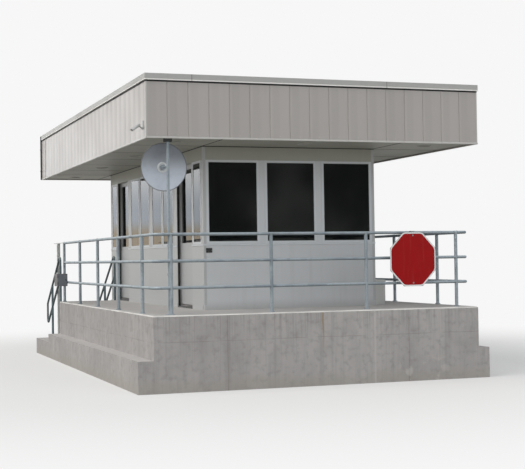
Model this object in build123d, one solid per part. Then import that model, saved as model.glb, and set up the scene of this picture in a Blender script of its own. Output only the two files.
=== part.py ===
from build123d import *
import math
import os

# Guard booth with a deep flat canopy on a raised concrete island, in millimetres.
# X runs right along the island's front face, Y runs away from that face, Z is up.
# Pieces are placed from the island's front left corner on the ground.
# At the end the whole is moved so that the origin lies under the middle of its outline.

# Concrete island, its footing ledges and the steps at its back left corner
island_length = 4770
island_height = 914
back_margin = 85
stair_notch = 660
island_arris = 15
footing_drop = 100
ledge_height = 330
left_ledge = 212
right_ledge = 170
riser_count = 5
tread = 280
bottom_tread = 530
stair_left = 170
stair_width = 930
step_arris = 8

# Booth walls: sheet-faced panels, with a band of windows between sill and header
booth_left = 1105
booth_front = 1365
booth_width = 2690
booth_length = 6110
wall = 50
floor_thickness = 40
sill_height = 953
head_height = 2163
header_height = 198
end_corner = 50
end_mullion = 95
base_lip = 6
base_lip_height = 70

# Openings of a side wall, measured along it from the front corner: start and width.
# The first and last are narrow lights, the second and the sixth are as wide as a door.
light_width = 420
light_start = 110
door_start = 600
door_width = 820
pane_start = 1630
pane_mullion = 70
middle_post = 190

# Window frames and glass
frame_bar = 30
frame_proud = 4
glass_thickness = 8
glass_setback = 22

# Sliding doors, which hang inside the wall
door_gap = 6
door_overlap = 25
leaf_thickness = 40
leaf_floor_gap = 9
stile = 85
top_rail = 95
lock_rail = 110
kick_rail = 190
panel_recess = 6
door_travel = 800
handle_height = 1000
handle_length = 150
handle_reach = 36
handle_bar = 6
handle_rose = 13
handle_rose_thickness = 4
pull_plate_width = 40
pull_plate_length = 170
pull_plate_thickness = 4
pull_plate_proud = 1
pull_dish = 2

# Door track, hangers and floor guide
track_bar = 6
track_bar_height = 40
track_above_leaf = 62
track_spacer = 10
spacer_count = 5
wheel_radius = 28
wheel_width = 18
wheel_groove = 5
wheel_play = 0.3
strap_width = 40
strap_thickness = 5
strap_lap = 60
hanger_inset = 130
guide_height = 12
guide_thickness = 6
guide_play = 5
threshold_height = 20

# Canopy
side_overhang = 1120
end_overhang = 1165
canopy_height = 860
fascia_thickness = 25
rib_pitch = 290
rib_width = 14
rib_depth = 7
soffit_rise = 20
soffit_thickness = 40
deck_thickness = 60
deck_drop = 130
coping_thickness = 20
coping_face = 88
coping_proud = 16
coping_kick = 8
coping_lap = 26
coping_fall = 8
drip_height = 24
drip_proud = 8
drip_thickness = 6
corner_side_leg = 46
corner_end_leg = 14
corner_sheet = 3

# Round lights let into the soffit
light_radius = 94
light_flange = 110
light_flange_thickness = 6
light_body = 30
light_recess = 18
light_hole_play = 1
side_light_count = 4

# Pipe railing
post_radius = 24
rail_radius = 21
rail_heights = (356, 711, 1067)
bend_radius = 110
tight_bend_radius = 50
left_inset = 80
right_inset = 55
front_post_start = 305
front_post_end = 226
front_post_count = 4
left_post_start = 900
left_post_count = 5
left_end_margin = 80
right_post_start = 1130
right_post_end = 280
right_post_count = 5
back_post_margin = 60
back_end_margin = 80
foot_radius = 40
foot_thickness = 8

# Stair rails and the newel beside them
stair_rail_radius = 19
stair_rail_height = 885
stair_rail_gap = 400
stair_rail_bend = 60
stair_rail_start = 50
stair_rail_reach = 110
near_rail_x = 30
far_rail_inset = 60
stair_post_radius = 21
stair_post_y = 930
newel_size = 55
newel_y = 500
newel_arm = 390
newel_arm_width = 30
newel_arm_thickness = 12
newel_arm_gap = 16

# Mirror on its pole, which stands close behind the first front post
pole_radius = 19
pole_side = 14
pole_plate_width = 105
pole_plate_depth = 60
pole_plate_thickness = 8
pole_plate_clearance = 4
clamp_height = 30
clamp_wall = 5
clamp_levels = (520, 900)
mirror_radius = 318
mirror_depth = 70
mirror_sheet = 3
mirror_rim = 8
mirror_drop = 390
mirror_turn = -4
mirror_reach = 150
mirror_shift = -28
mirror_arm = 12
mirror_hub = 50
mirror_hub_radius = 34

# Octagonal sign on the front railing
sign_size = 762
sign_thickness = 3
sign_x = 3820
sign_z = 1602
sign_turn = 7
sign_standoff = 60
bracket_width = 50

# Camera on the left fascia
camera_radius = 20
camera_length = 154
camera_hood = 2
camera_hood_reach = 10
camera_lens_radius = 12
camera_lens_proud = 3
camera_y = 347
camera_lift = 186
camera_offset = 55
camera_heading = 29
camera_tilt = 31
camera_grip = 20
camera_arm = 9
camera_plate_width = 60
camera_plate_height = 112
camera_plate_thickness = 6
camera_plate_shift = 23
camera_plate_drop = 1
camera_arm_drop = 40
camera_collar_radius = 14
camera_collar_length = 18

# Boxes fixed to the booth, the railing and the island
control_width = 185
control_depth = 300
control_height = 220
control_lift = 290
control_from_end = 200
cabinet_width = 265
cabinet_length = 500
cabinet_height = 380
cabinet_start = 235
cabinet_plinth = 45
cabinet_lid = 28
cabinet_lid_lap = 8
cabinet_groove = 10
wall_plate_width = 92
wall_plate_height = 66
wall_plate_thickness = 8
wall_plate_side = 32
wall_plate_below_sill = 62
seat_gap = 0.3

# Places worked out from the sizes above
riser = island_height / riser_count
booth_right = booth_left + booth_width
booth_back = booth_front + booth_length
island_depth = booth_back + back_margin
walkway_depth = island_depth - stair_notch
stair_right = stair_left + stair_width
stair_end = walkway_depth + (riser_count - 2) * tread + bottom_tread
sill = island_height + sill_height
head = island_height + head_height
soffit_bottom = head + header_height
canopy_bottom = soffit_bottom - soffit_rise
pane_width = ((booth_length - middle_post) / 2 - pane_start - pane_mullion) / 2
canopy_top = canopy_bottom + canopy_height
canopy_left = booth_left - side_overhang
canopy_right = booth_right + side_overhang
canopy_front = booth_front - end_overhang
canopy_back = booth_back + end_overhang
floor_top = island_height + floor_thickness
left_rail_x = left_inset
right_rail_x = island_length - right_inset
pole_y = canopy_front + fascia_thickness + pole_plate_clearance + pole_plate_depth / 2
post_to_pole = post_radius + pole_radius + seat_gap
front_rail_y = pole_y - math.sqrt(post_to_pole ** 2 - pole_side ** 2)
pole_x = front_post_start - pole_side
base = -footing_drop
back_rail_y = island_depth - back_end_margin
end_window = (booth_width - 2 * end_corner - 2 * end_mullion) / 3
mirror_height = soffit_bottom - mirror_drop


def slab(x0, x1, y0, y1, z0, z1):
    """A box between two corners."""
    return Pos((x0 + x1) / 2, (y0 + y1) / 2, (z0 + z1) / 2) * Box(x1 - x0, y1 - y0, z1 - z0)


def group(solids):
    """Like solids that share a node without touching."""
    return Compound(children=[s.solid() if isinstance(s, Part) else s for s in solids])


def pipe(start, end, radius):
    """A round bar between two points."""
    run = Vector(*end) - Vector(*start)
    return Solid.make_cylinder(radius, run.length, Plane(origin=start, z_dir=run))


def fuse(pieces):
    """One solid from pieces that overlap."""
    whole = pieces[0]
    for piece in pieces[1:]:
        whole = whole + piece
    return whole


def window_ring(width, height, depth):
    """A window's frame, lying in XZ from its lower left corner, with its face towards -Y."""
    outer = slab(0, width, -frame_proud, depth, 0, height)
    inner = slab(frame_bar, width - frame_bar, -frame_proud - 1, depth + 1, frame_bar, height - frame_bar)
    return outer - inner


def window_pane(width, height):
    """The glass of a window, fitting inside its frame."""
    return slab(
        frame_bar, width - frame_bar, glass_setback, glass_setback + glass_thickness, frame_bar, height - frame_bar
    )


def wall_places():
    """Where each wall's local frame stands: the corner on its left, seen from outside."""
    return {
        "front": Pos(booth_left, booth_front, 0),
        "right": Pos(booth_right, booth_front, 0) * Rot(0, 0, 90),
        "back": Pos(booth_right, booth_back, 0) * Rot(0, 0, 180),
        "left": Pos(booth_left, booth_back, 0) * Rot(0, 0, -90),
    }


def end_openings():
    """Start and width of the three windows of an end wall."""
    return [(end_corner + i * (end_window + end_mullion), end_window) for i in range(3)]


def side_openings():
    """Start and width of each opening of a side wall, from its front corner, doorways included."""
    near = [
        (light_start, light_width),
        (door_start, door_width),
        (pane_start, pane_width),
        (pane_start + pane_width + pane_mullion, pane_width),
    ]
    far = [(booth_length - start - width, width) for start, width in reversed(near)]
    return near + far


def doorways():
    """Start and width of the two doorways, from the front corner of the left wall."""
    openings = side_openings()
    return openings[1], openings[-2]


def posts_between(openings, start, end):
    """The solid stretches that a row of openings leaves."""
    stretches = []
    for opening, width in openings:
        stretches.append((start, opening))
        start = opening + width
    stretches.append((start, end))
    return stretches


def island():
    """The concrete mass, notched at its back left corner for the steps."""
    outline = Polyline(
        (0, 0),
        (island_length, 0),
        (island_length, island_depth),
        (stair_right, island_depth),
        (stair_right, walkway_depth),
        (0, walkway_depth),
        close=True,
    )
    mass = Pos(0, 0, base) * extrude(make_face(outline), amount=island_height - base)
    mass = chamfer(mass.faces().sort_by(Axis.Z)[-1].outer_wire().edges(), island_arris)
    return mass


def ledges():
    """The footing ledges along both sides of the island."""
    left = slab(-left_ledge, 0, 0, walkway_depth, base, ledge_height)
    right = slab(island_length, island_length + right_ledge, 0, island_depth, base, ledge_height)
    return group([left, right])


def stair_flight():
    """The steps as one cast mass, its lowest tread spreading over the ledge's width."""
    points = [(walkway_depth, base), (walkway_depth, island_height - riser)]
    y = walkway_depth
    for step in range(1, riser_count):
        level = island_height - step * riser
        y = y + (tread if step < riser_count - 1 else bottom_tread)
        points.append((y - step_arris, level))
        points.append((y, level - step_arris))
        points.append((y, level - riser if step < riser_count - 1 else base))
    profile = make_face(Plane.YZ * Polyline(*points, close=True))
    flight = Pos(stair_left, 0, 0) * extrude(profile, amount=stair_width, dir=(1, 0, 0))
    return flight + slab(-left_ledge, stair_left, walkway_depth, stair_end, base, riser)


def booth_floor():
    """The floor slab between the walls."""
    return slab(
        booth_left + wall, booth_right - wall, booth_front + wall, booth_back - wall, island_height, floor_top
    )


def panel(width, start=0):
    """A stretch of wall below the sill, with a drip lip along its foot."""
    body = slab(start, start + width, 0, wall, island_height, sill)
    lip = slab(start, start + width, -base_lip, 0, island_height, island_height + base_lip_height)
    return body + lip


def wall_nodes():
    """Wall panels, posts, headers, frames and glass of all four sides."""
    places = wall_places()
    openings = side_openings()
    doors = doorways()
    band = head - sill
    frames, glass = [], []
    end_panels, end_posts, end_headers = [], [], []
    for side in ("front", "back"):
        place = places[side]
        end_panels.append(place * panel(booth_width))
        end_headers.append(place * slab(0, booth_width, 0, wall, head, soffit_bottom))
        for start, stop in posts_between(end_openings(), 0, booth_width):
            end_posts.append(place * slab(start, stop, 0, wall, sill, head))
        for start, width in end_openings():
            at = place * Pos(start, 0, sill)
            frames.append(at * window_ring(width, band, wall))
            glass.append(at * window_pane(width, band))
    side_posts, side_headers = [], []
    panels = {"left": [], "right": []}
    for side in ("left", "right"):
        place = places[side]
        flip = side == "left"

        def along(start, width):
            return booth_length - start - width if flip else start

        panel_cuts = doors if side == "left" else ()
        for start, stop in posts_between(panel_cuts, wall, booth_length - wall):
            panels[side].append(place * panel(stop - start, along(start, stop - start)))
        side_headers.append(place * slab(wall, booth_length - wall, 0, wall, head, soffit_bottom))
        for start, stop in posts_between(openings, wall, booth_length - wall):
            low = along(start, stop - start)
            side_posts.append(place * slab(low, low + stop - start, 0, wall, sill, head))
        for opening in openings:
            if side == "left" and opening in doors:
                continue
            start, width = opening
            at = place * Pos(along(start, width), 0, sill)
            frames.append(at * window_ring(width, band, wall))
            glass.append(at * window_pane(width, band))
    return {
        "end_wall_panels": group(end_panels),
        "left_wall_panels": group(panels["left"]),
        "right_wall_panel": panels["right"][0],
        "end_posts": group(end_posts),
        "side_posts": group(side_posts),
        "end_headers": group(end_headers),
        "side_headers": group(side_headers),
        "window_frames": group(frames),
        "window_glass": group(glass),
    }


# The doors' own places: the leaf's outer face lies just inside the wall
leaf_x = booth_left + wall + door_gap
leaf_middle = leaf_x + leaf_thickness / 2
leaf_bottom = floor_top + leaf_floor_gap
leaf_top = head + door_overlap
leaf_width = door_width + 2 * door_overlap
track_bottom = leaf_top + track_above_leaf
track_top = track_bottom + track_bar_height
glazing_bottom = sill + frame_bar
glazing_top = leaf_top - top_rail
handle_z = island_height + handle_height


def pull_plate(width, length, x0, x1):
    """A round-ended plate across X, standing upright at the leaf's outer face."""
    return Pos(leaf_x + x0, 0, 0) * extrude(Plane.YZ * SlotOverall(length, width, rotation=90), amount=x1 - x0)


def door_leaf(y0, y_handle):
    """A half-glazed leaf with a recessed panel inside, a guide groove below and a pull's pocket outside."""
    y1 = y0 + leaf_width
    body = slab(leaf_x, leaf_x + leaf_thickness, y0, y1, leaf_bottom, leaf_top)
    light = slab(leaf_x - 1, leaf_x + leaf_thickness + 1, y0 + stile, y1 - stile, glazing_bottom, glazing_top)
    field = slab(
        leaf_x + leaf_thickness - panel_recess, leaf_x + leaf_thickness + 1,
        y0 + stile, y1 - stile, leaf_bottom + kick_rail, glazing_bottom - lock_rail,
    )
    groove_half = guide_thickness / 2 + guide_play
    groove = slab(
        leaf_middle - groove_half, leaf_middle + groove_half, y0 - 1, y1 + 1,
        leaf_bottom - 1, floor_top + guide_height + guide_play,
    )
    seat = pull_plate(
        pull_plate_width + 2 * seat_gap, pull_plate_length + 2 * seat_gap, -1, pull_plate_thickness - pull_plate_proud
    )
    return body - light - field - groove - Pos(0, y_handle, handle_z) * seat


def door_handles(y_middle):
    """The bow handle on a leaf's room side and the dished pull plate on its outer side."""
    z_middle = handle_z
    inner = leaf_x + leaf_thickness
    half = handle_length / 2
    path = FilletPolyline(
        (inner, y_middle, z_middle - half),
        (inner + handle_reach, y_middle, z_middle - half),
        (inner + handle_reach, y_middle, z_middle + half),
        (inner, y_middle, z_middle + half),
        radius=2 * handle_bar,
    )
    start = Plane(origin=path @ 0, z_dir=path % 0)
    bow = [sweep(start * Circle(handle_bar), path=path)]
    for z in (z_middle - half, z_middle + half):
        bow.append(pipe((inner, y_middle, z), (inner + handle_rose_thickness, y_middle, z), handle_rose))
    outer = pull_plate(pull_plate_width, pull_plate_length, -pull_plate_proud, pull_plate_thickness - pull_plate_proud)
    rim = 3 * pull_dish
    dish = pull_plate(pull_plate_width - rim, pull_plate_length - rim, -pull_plate_proud, pull_dish - pull_plate_proud)
    return group([fuse(bow), Pos(0, y_middle, z_middle) * (outer - dish)])


def door_hanger(y_middle):
    """A grooved wheel on the track with the strap that carries the leaf."""
    axle_z = track_top + wheel_play + wheel_radius - wheel_groove
    half = wheel_width / 2
    wheel_profile = Polyline(
        (0, -half),
        (wheel_radius, -half),
        (wheel_radius, -track_bar / 2 - 1),
        (wheel_radius - wheel_groove, -track_bar / 2 - 1),
        (wheel_radius - wheel_groove, track_bar / 2 + 1),
        (wheel_radius, track_bar / 2 + 1),
        (wheel_radius, half),
        (0, half),
        close=True,
    )
    wheel = revolve(make_face(wheel_profile), axis=Axis.Y)
    wheel = Pos(leaf_middle, y_middle, axle_z) * Rot(0, 0, 90) * wheel
    strap_x = leaf_x + leaf_thickness
    strap = slab(
        strap_x, strap_x + strap_thickness, y_middle - strap_width / 2, y_middle + strap_width / 2,
        leaf_top - strap_lap, axle_z + strap_width / 2,
    )
    strap = fillet(strap.edges().filter_by(Axis.X).sort_by(Axis.Z)[-2:], strap_width / 2 - 1)
    axle = pipe((leaf_middle, y_middle, axle_z), (strap_x + 2 * strap_thickness, y_middle, axle_z), wheel_groove)
    return fuse([wheel, strap, axle])


def door_nodes():
    """Both sliding doors, their tracks and thresholds."""
    nodes = {}
    tracks, thresholds = [], []
    inner = booth_left + wall
    track_x = leaf_middle - track_bar / 2
    for name, (start, width), way in zip(("front", "back"), doorways(), (1, -1)):
        y0 = booth_front + start - door_overlap
        y1 = y0 + leaf_width
        closing_side = y0 if way > 0 else y1
        handle_y = closing_side + way * (door_overlap + stile) / 2
        nodes[name + "_door_leaf"] = door_leaf(y0, handle_y)
        nodes[name + "_door_handles"] = door_handles(handle_y)
        pane_x = leaf_middle - glass_thickness / 2
        nodes[name + "_door_glass"] = slab(
            pane_x, pane_x + glass_thickness, y0 + stile, y1 - stile, glazing_bottom, glazing_top
        )
        nodes[name + "_door_hangers"] = group([door_hanger(y0 + hanger_inset), door_hanger(y1 - hanger_inset)])
        low = min(y0, y0 + way * door_travel)
        high = max(y1, y1 + way * door_travel)
        bar = slab(track_x, track_x + track_bar, low, high, track_bottom, track_top)
        spacer_z = (track_bottom + track_top) / 2
        spacers = [
            pipe((inner, low + (i + 0.5) * (high - low) / spacer_count, spacer_z),
                 (track_x + 1, low + (i + 0.5) * (high - low) / spacer_count, spacer_z), track_spacer)
            for i in range(spacer_count)
        ]
        tracks.append(fuse([bar] + spacers))
        jamb = booth_front + start + (width if way > 0 else 0)
        guide_start = jamb if way > 0 else jamb - door_overlap
        tracks.append(slab(
            leaf_middle - guide_thickness / 2, leaf_middle + guide_thickness / 2,
            guide_start, guide_start + door_overlap, floor_top, floor_top + guide_height,
        ))
        ramp = Polyline(
            (booth_left - base_lip, island_height),
            (inner, island_height),
            (inner, island_height + threshold_height),
            (booth_left + base_lip, island_height + threshold_height),
            close=True,
        )
        threshold = extrude(make_face(Plane.XZ * ramp), amount=width)
        thresholds.append(Pos(0, booth_front + start + width, 0) * threshold)
    nodes["door_tracks"] = group(tracks)
    nodes["door_thresholds"] = group(thresholds)
    return nodes


def ribbed_panel(length, height):
    """A fascia panel with a narrow upright joint at every sheet, its face towards -Y."""
    count = round(length / rib_pitch)
    pitch = length / count
    points = [(0, 0)]
    for i in range(1, count):
        points.append((i * pitch - rib_width / 2, 0))
        points.append((i * pitch, rib_depth))
        points.append((i * pitch + rib_width / 2, 0))
    points.extend([(length, 0), (length, fascia_thickness), (0, fascia_thickness)])
    return extrude(make_face(Polyline(*points, close=True)), amount=height)


def canopy_ring(points):
    """A mitred ring round the canopy from a section of (outward, height) points."""
    profile = Polyline(*[(canopy_right + u, 0, z) for u, z in points], close=True)
    y_middle = (canopy_front + canopy_back) / 2
    section = Pos(0, y_middle, 0) * make_face(profile)
    corners = [
        (canopy_right, y_middle, 0),
        (canopy_right, canopy_back, 0),
        (canopy_left, canopy_back, 0),
        (canopy_left, canopy_front, 0),
        (canopy_right, canopy_front, 0),
    ]
    path = Polyline(*corners, close=True)
    return sweep(section, path=path, transition=Transition.RIGHT)


def light_places():
    """Centres of the lights, in the middle of the canopy's overhang all round."""
    x_left = (canopy_left + booth_left) / 2
    x_right = (canopy_right + booth_right) / 2
    y_front = (canopy_front + booth_front) / 2
    y_back = (canopy_back + booth_back) / 2
    x_middle = (booth_left + booth_right) / 2
    pitch = (y_back - y_front) / (side_light_count - 1)
    places = [(x, y_front + i * pitch) for x in (x_left, x_right) for i in range(side_light_count)]
    return places + [(x_middle, y_front), (x_middle, y_back)]


def corner_trim(first, second, height):
    """A folded trim round a corner, its legs along X and Y."""
    angle = Polyline(
        (-corner_sheet, -corner_sheet), (first, -corner_sheet), (first, 0), (0, 0),
        (0, second), (-corner_sheet, second), close=True,
    )
    return extrude(make_face(angle), amount=height)


def canopy_nodes():
    """Soffit, deck, fascias, coping, trims and the lights in the soffit."""
    fascia_bottom = canopy_bottom + drip_thickness
    fascia_top = canopy_top - coping_thickness
    fascia_height = fascia_top - fascia_bottom
    width = canopy_right - canopy_left
    length = canopy_back - canopy_front
    t = fascia_thickness
    front = Pos(canopy_left, canopy_front, fascia_bottom) * ribbed_panel(width, fascia_height)
    back = Pos(canopy_right, canopy_back, fascia_bottom) * Rot(0, 0, 180) * ribbed_panel(width, fascia_height)
    side = ribbed_panel(length - 2 * t, fascia_height)
    left = Pos(canopy_left, canopy_back - t, fascia_bottom) * Rot(0, 0, -90) * side
    right = Pos(canopy_right, canopy_front + t, fascia_bottom) * Rot(0, 0, 90) * side
    soffit = slab(
        canopy_left + t, canopy_right - t, canopy_front + t, canopy_back - t,
        soffit_bottom, soffit_bottom + soffit_thickness,
    )
    lamp_profile = Polyline(
        (0, light_recess - light_flange_thickness),
        (light_radius - light_flange_thickness, light_recess - light_flange_thickness),
        (light_radius - light_flange_thickness, -light_flange_thickness),
        (light_flange, -light_flange_thickness),
        (light_flange, 0),
        (light_radius, 0),
        (light_radius, light_body),
        (0, light_body),
        close=True,
    )
    lamp = revolve(make_face(Plane.XZ * lamp_profile), axis=Axis.Z)
    hole = Cylinder(light_radius + light_hole_play, 3 * soffit_thickness)
    lamps = []
    for x, y in light_places():
        soffit = soffit - Pos(x, y, soffit_bottom) * hole
        lamps.append(Pos(x, y, soffit_bottom) * lamp)
    deck_top = canopy_top - deck_drop
    deck = slab(
        canopy_left + t, canopy_right - t, canopy_front + t, canopy_back - t, deck_top - deck_thickness, deck_top
    )
    coping = canopy_ring([
        (-t - coping_lap, fascia_top),
        (-t - coping_lap, canopy_top - coping_fall),
        (coping_proud, canopy_top),
        (coping_proud, canopy_top - coping_face + coping_kick),
        (coping_proud + coping_kick, canopy_top - coping_face),
        (0, canopy_top - coping_face),
        (0, fascia_top),
    ])
    drip = canopy_ring([
        (-t, canopy_bottom),
        (drip_proud, canopy_bottom),
        (drip_proud, canopy_bottom + drip_height - drip_proud),
        (0, canopy_bottom + drip_height),
        (0, fascia_bottom),
        (-t, fascia_bottom),
    ])
    angle_height = canopy_height - coping_face - drip_height
    trims = [
        Pos(x, y, canopy_bottom + drip_height) * Rot(0, 0, turn) * corner_trim(first, second, angle_height)
        for x, y, turn, first, second in (
            (canopy_left, canopy_front, 0, corner_end_leg, corner_side_leg),
            (canopy_right, canopy_front, 90, corner_side_leg, corner_end_leg),
            (canopy_right, canopy_back, 180, corner_end_leg, corner_side_leg),
            (canopy_left, canopy_back, -90, corner_side_leg, corner_end_leg),
        )
    ]
    return {
        "end_fascias": group([front, back]),
        "side_fascias": group([left, right]),
        "soffit": soffit,
        "soffit_lights": group(lamps),
        "roof_deck": deck,
        "coping": coping,
        "drip_trim": drip,
        "corner_trims": group(trims),
    }


def railing_post(x, y):
    """A post on its round foot plate, up to the top rail's middle."""
    post = pipe((x, y, island_height), (x, y, island_height + rail_heights[-1]), post_radius)
    foot = pipe((x, y, island_height), (x, y, island_height + foot_thickness), foot_radius)
    return [post, foot]


def straight_railing(start, end, posts):
    """A flat bay of railing: three rails between two points and the posts that carry them."""
    pieces = []
    for height in rail_heights:
        z = island_height + height
        pieces.append(pipe((start[0], start[1], z), (end[0], end[1], z), rail_radius))
    for x, y in posts:
        pieces.extend(railing_post(x, y))
    return fuse(pieces)


def rail_bend(x, y, turn, radius):
    """Three quarter bends, one at each rail's height, turning a corner of the railing."""
    bends = []
    for height in rail_heights:
        section = Pos(radius, 0, 0) * Circle(rail_radius)
        bend = revolve(Plane.XZ * section, axis=Axis.Z, revolution_arc=90)
        bends.append(Pos(x, y, island_height + height) * Rot(0, 0, turn) * bend)
    return bends


def spaced(first, last, count):
    """Evenly spaced places from the first to the last."""
    return [first + i * (last - first) / (count - 1) for i in range(count)]


def railing_nodes():
    """The railing of the front, both sides and the short back return, with its corner bends."""
    r = bend_radius
    tight = tight_bend_radius
    left_end = walkway_depth - left_end_margin
    right_end = back_rail_y - r - right_post_end
    back_end = booth_right + back_post_margin
    front_xs = spaced(front_post_start, island_length - front_post_end, front_post_count)
    front_posts = [(x, front_rail_y) for x in front_xs]
    left_posts = [(left_rail_x, y) for y in spaced(left_post_start, left_end, left_post_count)]
    right_posts = [(right_rail_x, y) for y in spaced(right_post_start, right_end, right_post_count)]
    front = straight_railing((left_rail_x + r, front_rail_y), (right_rail_x - tight, front_rail_y), front_posts)
    pole_plate = slab(
        pole_x - pole_plate_width / 2, pole_x + pole_plate_width / 2, front_rail_y - foot_radius,
        pole_y + pole_plate_depth / 2, island_height, island_height + foot_thickness,
    )
    left = straight_railing((left_rail_x, front_rail_y + r), (left_rail_x, left_end), left_posts)
    right_start = front_rail_y + tight
    right = straight_railing((right_rail_x, right_start), (right_rail_x, back_rail_y - r), right_posts)
    back = straight_railing((right_rail_x - r, back_rail_y), (back_end, back_rail_y), [(back_end, back_rail_y)])
    bends = rail_bend(left_rail_x + r, front_rail_y + r, 180, r)
    bends += rail_bend(right_rail_x - tight, front_rail_y + tight, 270, tight)
    bends += rail_bend(right_rail_x - r, back_rail_y - r, 0, r)
    return {
        "front_railing": front + pole_plate,
        "left_railing": left,
        "right_railing": right,
        "back_railing": back,
        "rail_corners": group(bends),
    }


def stair_rail(x, head_foot, low_foot):
    """A closed loop of pipe that follows the flight, on two posts whose feet stand at two levels."""
    slope = riser / tread
    y0 = walkway_depth + stair_rail_start
    y1 = stair_end + stair_rail_reach

    def rail_z(y):
        return island_height + stair_rail_height - (y - walkway_depth) * slope

    pieces = []
    middle = (y0 + y1) / 2
    for y_end, lap in ((y0, 1), (y1, -1)):
        corners = [
            (x, middle + lap, rail_z(middle + lap)),
            (x, y_end, rail_z(y_end)),
            (x, y_end, rail_z(y_end) - stair_rail_gap),
            (x, middle + lap, rail_z(middle + lap) - stair_rail_gap),
        ]
        path = FilletPolyline(*corners, radius=stair_rail_bend)
        start = Plane(origin=path @ 0, z_dir=path % 0)
        pieces.append(sweep(start * Circle(stair_rail_radius), path=path))
    low_y = walkway_depth + stair_post_y
    posts = ((y0, head_foot, rail_z(y0) - stair_rail_gap / 2), (low_y, low_foot, rail_z(low_y)))
    for y, foot, top in posts:
        pieces.append(pipe((x, y, foot), (x, y, top), stair_post_radius))
        pieces.append(pipe((x, y, foot), (x, y, foot + foot_thickness), foot_radius))
    return fuse(pieces)


def stair_nodes():
    """Both stair rails, and beside the near one a square newel with an arm over the top steps."""
    rail_top = island_height + rail_heights[-1]
    x0 = near_rail_x + stair_rail_radius + seat_gap
    x_arm = x0 + newel_size / 2
    y0 = walkway_depth + newel_y - newel_size / 2
    arm_start = walkway_depth - left_end_margin + post_radius + newel_arm_gap
    newel = fuse([
        slab(x0, x0 + newel_size, y0, y0 + newel_size, riser, rail_top),
        slab(
            x_arm - newel_arm_width / 2, x_arm + newel_arm_width / 2, arm_start, y0 + newel_size / 2 + newel_arm,
            rail_top, rail_top + newel_arm_thickness,
        ),
    ])
    near = stair_rail(near_rail_x, riser, riser)
    far = stair_rail(stair_right - far_rail_inset, island_height - riser, riser)
    return {
        "stair_rails": group([near, far]),
        "newel_post": newel,
    }


def dome_edge(radius, depth, thickness):
    """The section of a shallow dome through its crown, down to a rim at a radius."""
    curve = (radius ** 2 + depth ** 2) / (2 * depth)
    half = radius / 2
    fall = curve - math.sqrt(curve ** 2 - half ** 2)
    return ThreePointArc((0, -thickness), (half, -fall - thickness), (radius, -depth - thickness))


def pole_clamp(level):
    """A band round the mirror's pole and the post in front of it."""
    post = Vector(front_post_start, front_rail_y, level)
    pole = Vector(pole_x, pole_y, level)
    turn = math.degrees(math.atan2(pole.Y - post.Y, pole.X - post.X))
    band = SlotCenterToCenter(post_to_pole, 2 * (post_radius + seat_gap + clamp_wall))
    band = band - Pos(-post_to_pole / 2, 0) * Circle(post_radius + seat_gap)
    band = band - Pos(post_to_pole / 2, 0) * Circle(pole_radius + seat_gap)
    middle = (post + pole) / 2
    return Pos(middle.X, middle.Y, level) * Rot(0, 0, turn) * extrude(band, amount=clamp_height)


def mirror_nodes():
    """The round traffic mirror and its pole, from the island to the soffit, with its arm."""
    half_width = pole_plate_width / 2
    half_depth = pole_plate_depth / 2
    foot = island_height + foot_thickness
    top = soffit_bottom - pole_plate_thickness
    pole = pipe((pole_x, pole_y, foot), (pole_x, pole_y, soffit_bottom), pole_radius)
    plate = slab(
        pole_x - half_width, pole_x + half_width, pole_y - half_depth, pole_y + half_depth, top, soffit_bottom
    )
    turn = math.radians(mirror_turn)
    facing = Vector(math.sin(turn), math.cos(turn), 0)
    crown = Vector(pole_x + mirror_shift, pole_y + mirror_reach, mirror_height) + facing * (mirror_depth / 2)
    hub_start = crown - facing * mirror_sheet
    hub_end = hub_start - facing * mirror_hub
    hub = pipe(tuple(hub_end), tuple(hub_start), mirror_hub_radius)
    arm = pipe((pole_x, pole_y, mirror_height), tuple(hub_end + facing * mirror_arm), mirror_arm)
    front = dome_edge(mirror_radius, mirror_depth, 0)
    back = dome_edge(mirror_radius, mirror_depth, mirror_sheet)
    rim = Polyline(
        front @ 1,
        (mirror_radius + mirror_sheet, -mirror_depth),
        (mirror_radius + mirror_sheet, -mirror_depth - mirror_rim),
        (mirror_radius, -mirror_depth - mirror_rim),
        back @ 1,
    )
    section = make_face(Plane.XZ * (Curve() + [front, rim, back, Line(back @ 0, front @ 0)]))
    stand = Plane(origin=tuple(crown), z_dir=tuple(facing))
    shell = stand * revolve(section, axis=Axis.Z)
    return {
        "mirror": shell,
        "mirror_pole": fuse([pole, plate, arm, hub]) - shell,
        "pole_clamps": group([pole_clamp(island_height + level) for level in clamp_levels]),
    }


def sign_nodes():
    """The octagonal sign, turned a little to the right on its bracket."""
    rail_front = front_rail_y - rail_radius
    plate_y = rail_front - sign_standoff
    half = sign_size / 2
    octagon = RegularPolygon(radius=half, side_count=8, major_radius=False, rotation=22.5)
    plate = extrude(Plane.XZ * octagon, amount=sign_thickness)
    plate = Pos(sign_x, plate_y, sign_z) * Rot(0, 0, sign_turn) * plate
    lean = math.tan(math.radians(sign_turn)) * bracket_width / 2
    section = Polyline(
        (sign_x - bracket_width / 2, rail_front - seat_gap),
        (sign_x + bracket_width / 2, rail_front - seat_gap),
        (sign_x + bracket_width / 2, plate_y + lean),
        (sign_x - bracket_width / 2, plate_y - lean),
        close=True,
    )
    height = rail_heights[-1] - rail_heights[0] + 2 * rail_radius
    bracket = extrude(make_face(section), amount=height)
    bracket = Pos(0, 0, island_height + rail_heights[0] - rail_radius) * bracket
    return {"stop_sign": plate, "sign_bracket": bracket}


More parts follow.
